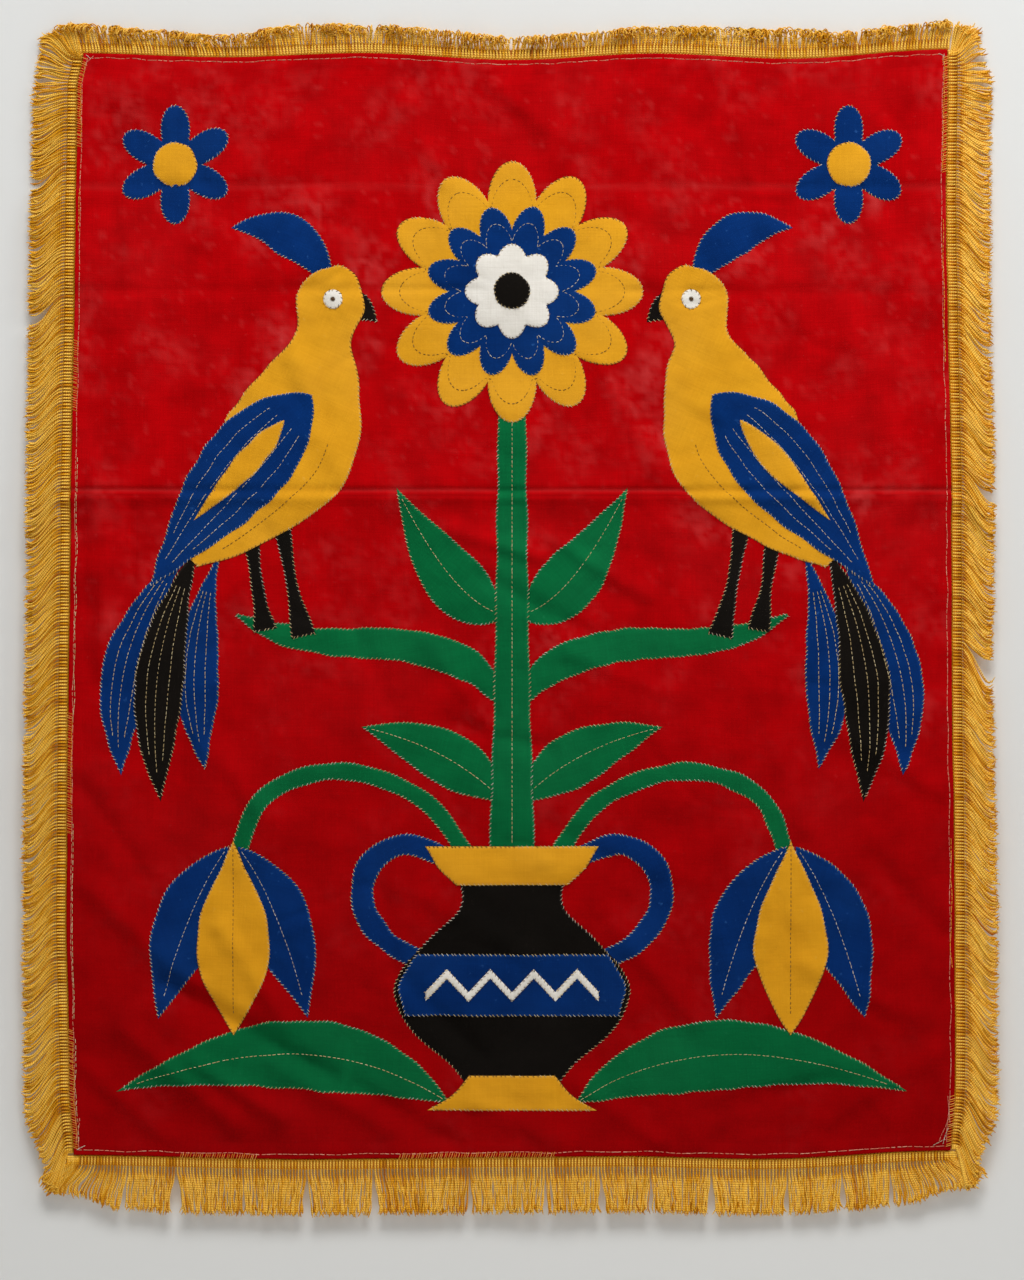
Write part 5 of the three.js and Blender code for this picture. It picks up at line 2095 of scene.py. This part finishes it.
@dataclass
class Fringe:
    """One length of bullion fringe: a woven heading behind the hem, binding threads along it, and
    twisted strands that leave it, droop and end in small loops.

    Attributes:
        hanging: the cloth that it hangs with.
        side: the flag's edge.
        ends: where it starts and ends along the hem.
        layers: its strands, the front layer first.
        pitch: from one strand to the next.
        steps: points on a strand.
        sides: sides of a strand's ring.
        strand: a free strand's radius.
        stray: how far a strand strays along the hem.
        behind: how far the heading reaches behind the cloth.
        bound: how far it reaches out.
        fans: the strands at the corners.
        ring_across: the way that the strands' rings are square to.
        finish: its yarn.
    """

    hanging: Hanging
    side: Side
    ends: tuple[float, float]
    layers: tuple[Layer, ...] = (
        Layer(1.4, 1, 1.34, 0.0),
        Layer(1.1, 2, 0.9, 1.0, -0.6),
        Layer(0.7, 3, 0.9, -1.0, -1.0),
        Layer(0.1, 4, 0.7, 1.7, -2.0, 1.7),
    )
    pitch: float = 3.3
    steps: int = 12
    sides: int = 3
    strand: float = 0.72
    stray: float = 2.3
    behind: float = 8.0
    bound: float = 11.0
    fans: tuple[Fan, ...] = ()
    ring_across: tuple[float, float, float] = (0.0, -1.0, 0.0)
    finish: TwistedYarn = Yarn.GOLD.value

    @property
    def label(self) -> str:
        """The side's name in lower case."""
        return self.side.name.lower()

    def edge(self, at: Array, inside: Array) -> tuple[Array, Array]:
        """Where a place along the hem and inside it hangs.

        Args:
            at: depth below the top for the upright sides, x for the others.
            inside: millimetres inside the hem's fold.

        Returns:
            x and z.
        """
        share = inside / CLOTH_WIDTH
        across = at / CLOTH_WIDTH + 0.5
        if self.side is Side.LEFT:
            return self.hanging.on_panel(share, at)
        if self.side is Side.RIGHT:
            return self.hanging.on_panel(1 - share, at)
        if self.side is Side.TOP:
            return self.hanging.on_panel(across, inside)
        return self.hanging.on_panel(across, CLOTH_HEIGHT - inside)

    def place(self, at: Array, out: Array, along: Array, distance: Array) -> Array:
        """Points in metres beside the hem.

        Args:
            at: places along the hem.
            out: distances out of it, below 0 behind it.
            along: distances moved along it.
            distance: distances in front of the cloth's back.

        Returns:
            The points.
        """
        at, out, along, distance = np.broadcast_arrays(at, out, along, distance)
        x, z = self.edge(at, np.maximum(-out, 0))
        stand = self.hanging.stand(x, z)
        (out_x, out_z), (along_x, along_z) = self.side.value
        beyond = np.maximum(out, 0)
        x = x + beyond * out_x + along * along_x
        z = z + beyond * out_z + along * along_z
        return np.stack([x, -(stand + distance), z], axis=-1) * MM

    def station(self, at: Array) -> tuple[Array, Array, Array]:
        """A strand's reach, slide and the squeeze of its tip, from the stations on its two sides.

        Args:
            at: the strands' places along the hem.

        Returns:
            Reach, slide, and how far the tip is pushed along by the gaps of its tuft.
        """
        rows = TUFTS[self.side]
        reach = read(rows, "at", "reach", at)
        slide = read(rows, "at", "slide", at)
        i = np.clip(np.searchsorted(rows["at"], at, side="right") - 1, 0, len(rows["at"]) - 2)
        share = np.clip((at - rows["at"][i]) / (rows["at"][i + 1] - rows["at"][i]), 0, 1)
        squeeze = rows["gap"][i] / 2 * (1 - share) ** 2 - rows["gap"][i + 1] / 2 * share**2
        return reach, slide, squeeze

    def strands(self, layer: Layer) -> tuple[Array, Array, Array]:
        """The paths of one layer's strands.

        A strand runs straight out through the heading, then falls: its slide along the hem eases
        in once it is free of the heading, it sways a little, and its tip hooks back.

        Args:
            layer: the layer.

        Returns:
            The paths in metres, the radius at each point, and each strand's tone.
        """
        rng = np.random.default_rng(layer.seed * 10 + len(self.label))
        at, reach, slide = self.roots(layer, rng)
        count = len(at)
        t = np.linspace(0, 1, self.steps)
        free = np.clip((t - FREE_FROM) / (1 - FREE_FROM), 0, 1)
        out = 1.0 + (reach[:, None] - 1.0) * t
        along = slide[:, None] * smooth(free / 0.86) + layer.shift * smooth(free * 2.5)
        turns = rng.uniform(0.9, 1.6, (count, 1)) * free + self.phase(at, layer.seed)[:, None]
        along = along + rng.uniform(0.4, 1.7, (count, 1)) * free * np.sin(2 * math.pi * turns)
        hook = np.clip((t - HOOK_FROM) / (1 - HOOK_FROM), 0, 1) ** 2
        along = along + rng.normal(0, 2.0, (count, 1)) * hook
        out = out - np.abs(rng.normal(0, 1.0, (count, 1))) * hook
        sway = np.cos(2 * math.pi * self.phase(at, 9))[:, None]
        lift = layer.forward + 2.0 * smooth(free * 1.3) + 0.9 * free * sway
        lift = lift + rng.normal(0, 0.5, (count, 1)) * free
        paths = self.place(at[:, None], out, along, 0.9 + np.maximum(lift, 0.1) * smooth(t * 4))
        return paths, self.thickness(layer, count, t), self.tones(at, t, rng)

    def roots(self, layer: Layer, rng: np.random.Generator) -> tuple[Array, Array, Array]:
        """Where a layer's strands leave the heading, how far they reach and how far they slide.

        Args:
            layer: the layer.
            rng: for the unevenness.

        Returns:
            Places along the hem, reaches and slides, the fans' last.
        """
        count = int((self.ends[1] - self.ends[0]) / self.pitch)
        at = np.linspace(*self.ends, count) + np.random.default_rng(6).uniform(-0.25, 0.25, count)
        reach, slide, squeeze = self.station(at)
        clump = wobble(at / 100, 100, 1.0, layer.seed + 7) * 2.2
        reach = reach + rng.normal(0, 0.9, count) + layer.reach_change
        slide = slide + rng.normal(0, self.stray, count) + 1.5 * squeeze + clump
        for fan in self.fans:
            share = rng.uniform(0, 1, fan.count)
            at = np.concatenate([at, fan.at + rng.uniform(-1, 1, fan.count) * fan.spread])
            reach = np.concatenate([reach, lerp(*fan.reach, share**1.2) + rng.normal(0, 1.5, fan.count)])
            slide = np.concatenate([slide, lerp(*fan.slide, share) + rng.normal(0, 1.5, fan.count)])
        return at, reach, slide

    def thickness(self, layer: Layer, count: int, t: Array) -> Array:
        """The strands' radii: plump ribs in the heading, slim after it, and a small loop's blob at
        the tip.

        Args:
            layer: the layer.
            count: how many strands.
            t: shares along a strand.

        Returns:
            A radius for each point, in metres.
        """
        tied = lerp(1.08 * layer.rib, 0.8 * layer.rib, smooth((t - 0.09) / 0.09))
        radius = lerp(tied, self.strand * layer.plump, smooth((t - 0.22) / 0.16))
        radii = np.tile(radius * MM, (count, 1))
        radii[:, -3:] *= np.array([1.1, 1.5, 0.45])
        return radii

    @staticmethod
    def phase(at: Array, seed: int) -> Array:
        """A number that drifts along the hem, so that neighbouring strands move together."""
        return 0.5 + wobble(at / 60, 60, 0.8, seed + 40)

    @staticmethod
    def tones(at: Array, t: Array, rng: np.random.Generator) -> Array:
        """The strands' tones: brighter and darker by turns along the hem, a painted highlight in the
        heading, a painted shadow just past it, and a painted highlight on the bend.

        Args:
            at: the strands' places along the hem.
            t: shares along a strand.
            rng: for the unevenness.

        Returns:
            A tone for each point of each strand.
        """
        own = 0.87 + wobble(at / 90, 90, 0.14, 77) + rng.normal(0, 0.27, len(at))
        # Painted highlight on the heading's ribs
        heading = 0.24 * (1 - smooth((t - 0.12) / 0.1))
        # Painted shadow just past the heading, under the ribs
        painted_shadow = -0.2 * bell(t, 0.25, 0.08)
        # Painted highlight where the strand bends
        bend = 0.16 * bell(t, 0.56, 0.16)
        return np.clip(own[:, None] + heading + painted_shadow + bend, 0, 1)

    def build_strands(self) -> bpy.types.Object:
        """Makes all the strands as one mesh.

        Returns:
            The object.
        """
        parts = [self.strands(layer) for layer in self.layers]
        paths, radii, tone = (np.concatenate(group) for group in zip(*parts))
        across = np.array(self.ring_across)
        return Tubes(paths, radii, self.sides, across, tone).build(f"fringe_{self.label}_strands")

    def build_heading(self) -> bpy.types.Object:
        """Makes the heading: a tape with a low rib at each strand, drawn dark on its outer part as painted
        shade between the strands.

        Returns:
            The object.
        """
        count = int((self.ends[1] - self.ends[0]) / 1.5)
        at = np.linspace(*self.ends, count)
        out = np.linspace(-self.behind, self.bound, 9)
        u, v = np.meshgrid(at, out, indexing="ij")
        rib = 0.16 * np.cos(2 * math.pi * (u - self.ends[0]) / self.pitch)
        points = self.place(u, v, np.zeros_like(u), 0.55 + rib)
        flat = np.stack([v, u], axis=-1) * MM
        # Its outer part shows only between the strands, so it is drawn dark there as painted shade
        tone = 0.22 + 0.45 * smooth((6.5 - v) / 4)
        surface = Surface(points, flat, {"tone": tone}).facing_front()
        return make_surface(f"fringe_{self.label}_heading", surface)

    def build_binding(self) -> bpy.types.Object:
        """Makes the binding threads: they run along the heading, over one strand and under the next.

        Returns:
            The object.
        """
        count = int((self.ends[1] - self.ends[0]) / (self.pitch / 2))
        at = np.linspace(*self.ends, count)
        outs = (1.2, 10.4)
        wave = np.where(np.arange(count) % 2, -1.0, 1.0)
        still, height = np.zeros(count), 2.9 + 0.8 * wave
        paths = np.stack([self.place(at, np.full(count, out) + 0.5 * wave, still, height) for out in outs])
        along_x, along_z = self.side.value[1]
        across = np.array([along_z, 0.0, along_x])
        radii = np.array([0.3 * MM])
        return Tubes(paths, radii, 3, across, np.full(len(outs), 0.5)).build(f"fringe_{self.label}_binding")

    def build(self) -> list[bpy.types.Object]:
        """Makes the length of fringe: its strands, heading and binding threads, each given its finish.

        Returns:
            Strands, heading and binding threads.
        """
        strands, heading, binding = self.build_strands(), self.build_heading(), self.build_binding()
        dress(strands, self.finish, (f"fringe_{self.label}",))
        dress(heading, self.finish)
        dress(binding, self.finish)
        return [strands, heading, binding]


@dataclass
class CurledFringe(Fringe):
    """The top fringe: its strands stand up from the heading, arch forward and curl over."""

    layers: tuple[Layer, ...] = (
        Layer(1.4, 1, 1.3, 0.0),
        Layer(0.9, 2, 0.9, 1.2, -0.6),
        Layer(0.2, 3, 0.8, -1.1, -1.6),
    )
    steps: int = 17
    ring_across: tuple[float, float, float] = (1.0, 0.0, 0.0)

    def strands(self, layer: Layer) -> tuple[Array, Array, Array]:
        """The paths of one layer's strands: upright first, then round an arch whose turn grows
        with the length, so that the tip hangs in front.

        Args:
            layer: the layer.

        Returns:
            The paths in metres, the radius at each point, and each strand's tone.
        """
        rng = np.random.default_rng(layer.seed * 10 + 5)
        at, rise, lean = self.roots(layer, rng)
        count = len(at)
        open_loops = bell(at, 225, 95)
        radius = np.clip(rng.normal(4.0, 1.0, count) + 0.6 * open_loops, 2.4, 6.6)
        sideways = np.clip(-0.25 + wobble(at / 130, 130, 1.5, 21) + rng.normal(0, 0.35, count), -0.95, 0.95)
        sideways = lerp(sideways, np.sign(sideways) * 0.95, open_loops)
        stem = rise - radius
        turn = rng.uniform(1.15, 1.75, count) * math.pi
        total = stem + radius * turn
        s = np.linspace(0, 1, self.steps) * total[:, None]
        angle = np.clip((s - stem[:, None]) / radius[:, None], 0, None)
        upright = np.minimum(s, stem[:, None])
        out = 1.0 + upright + radius[:, None] * np.sin(np.minimum(angle, 2 * math.pi)) * (1 - 0.06 * angle)
        bow = radius[:, None] * (1 - np.cos(angle))
        forward = bow * np.sqrt(1 - sideways**2)[:, None]
        twist = rng.normal(0, 2.2, count)[:, None] * np.clip(angle, 0, math.pi) / math.pi
        along = lean[:, None] * smooth(s / total[:, None]) + twist + bow * sideways[:, None]
        along = along + layer.shift * smooth((s - 9) / 8)
        paths = self.place(at[:, None], out, along, 0.9 + layer.forward * smooth(s / 6) + forward)
        t = np.linspace(0, 1, self.steps)
        return paths, self.thickness(layer, count, t), self.tones(at, t, rng)


# Where each fringe starts and ends, and the strands that fill the corners
SIDE_ENDS = {Side.LEFT: (2, 1145), Side.RIGHT: (2, 1145), Side.BOTTOM: (-455, 455), Side.TOP: (-470, 458)}
FANS = {
    Side.LEFT: (Fan(3, 16, (46, 8), (-17, -33)), Fan(1143, 9, (31, 20), (34, 42))),
    Side.RIGHT: (Fan(3, 13, (36, 10), (-19, -30)), Fan(1143, 9, (30, 20), (34, 41))),
    Side.BOTTOM: (Fan(-458, 14, (42, 26), (-14, -30), 6), Fan(458, 14, (42, 26), (14, 30), 6)),
    Side.TOP: (),
}


@dataclass(frozen=True)
class Lamp:
    """A soft area lamp: its place and its width and height in metres, and its power in watts."""

    name: str
    place: tuple[float, float, float]
    size: tuple[float, float]
    power: float


# From above in front, low from the right to bring out the folds, and from behind
LAMPS = (
    Lamp("key", (0.1, -2.4, 2.9), (2.2, 1.4), 134.0),
    Lamp("rake", (1.9, -1.2, 1.0), (0.8, 0.8), 13.0),
    Lamp("back", (0.8, 2.4, 0.8), (2.0, 1.6), 45.0),
)


@dataclass
class Studio:
    """The camera, the wall, the floor and the lights."""

    camera_height: float = -605.5
    camera_distance: float = 3148.0
    lens: float = 85.0
    wall_behind: float = 1.0
    floor_below: float = -1750.0

    def camera(self) -> None:
        """Sets the camera at the photograph's place, square to the wall."""
        data = bpy.data.cameras.new("camera")
        data.lens = self.lens
        data.sensor_width = 36.0
        made = bpy.data.objects.new("camera", data)
        made.location = (0.0, -self.camera_distance * MM, self.camera_height * MM)
        made.rotation_euler = (math.pi / 2, 0.0, 0.0)
        bpy.context.scene.collection.objects.link(made)
        bpy.context.scene.camera = made

    def plane(self, name: str, corners: Array, finish: Plaster) -> bpy.types.Object:
        """Makes a flat backdrop.

        Args:
            name: its name.
            corners: four corners in metres, counter-clockwise as seen from its face.
            finish: its finish.

        Returns:
            The object.
        """
        flat = corners[:, :2]
        made = make_mesh(name, corners, np.array([[0, 1, 2, 3]]), flat, {})
        made.data.materials.append(finish.material())
        return made

    def room(self) -> None:
        """Makes the wall behind the flag and the floor far below it."""
        y, low = self.wall_behind * MM, self.floor_below * MM
        high, side, front, back = 2.6, 4.0, -6.0, 6.0
        wall = self.plane(
            "wall",
            np.array([(-side, y, low), (side, y, low), (side, y, high), (-side, y, high)]),
            Plaster("painted_plaster_wall", "#D9DAD9", True),
        )
        wall.visible_shadow = False
        self.plane(
            "floor",
            np.array([(-side, front, low), (side, front, low), (side, back, low), (-side, back, low)]),
            Plaster("painted_floor", "#DEDCD8", False),
        )

    @staticmethod
    def lamp(lamp: Lamp) -> None:
        """Adds a lamp that looks at the middle of the flag.

        Args:
            lamp: the lamp.
        """
        data = bpy.data.lights.new(lamp.name, "AREA")
        data.shape = "RECTANGLE"
        data.size, data.size_y = lamp.size
        data.energy = lamp.power
        made = bpy.data.objects.new(lamp.name, data)
        made.location = lamp.place
        aim = made.location.copy()
        aim.x, aim.y, aim.z = -lamp.place[0], -lamp.place[1], -0.55 - lamp.place[2]
        made.rotation_euler = aim.to_track_quat("-Z", "Y").to_euler()
        made.visible_camera = False
        bpy.context.scene.collection.objects.link(made)

    def lights(self) -> None:
        """Lights the flag from its lamps and softly from all round."""
        for lamp in LAMPS:
            self.lamp(lamp)
        world = bpy.data.worlds.new("studio")
        world.use_nodes = True
        background = world.node_tree.nodes["Background"]
        background.inputs[0].default_value = linear("#F1F0EE")
        background.inputs[1].default_value = 0.41
        bpy.context.scene.world = world
        bpy.context.scene.view_settings.view_transform = "Standard"

    def build(self) -> None:
        """Sets up the whole studio."""
        self.camera()
        self.room()
        self.lights()


def main() -> None:
    """Builds the flag piece by piece in its studio."""
    logging.basicConfig(level=logging.INFO, format="%(message)s")
    Studio().build()
    hanging = Hanging()
    applique = Applique(hanging)
    panel = Panel(hanging).build()
    applique.build()
    edges = Stitches(hanging, "edge_stitches", EDGE_THREAD)
    WhipStitches(applique, edges).sew()
    edges.build()
    hems = Stitches(hanging, "hem_stitches", HEM_THREAD)
    HemStitches(hanging, hems).sew()
    hems.build()
    lines = Stitches(hanging, "line_stitches", LINE_THREAD)
    QuiltLines(applique, lines).sew()
    lines.build()
    headings = []
    for side, ends in SIDE_ENDS.items():
        kind = CurledFringe if side is Side.TOP else Fringe
        # The bottom's strands hang straighter than the others
        stray = 1.3 if side is Side.BOTTOM else 2.3
        headings += kind(hanging, side, ends, fans=FANS[side], stray=stray).build()


if __name__ == "__main__":
    main()
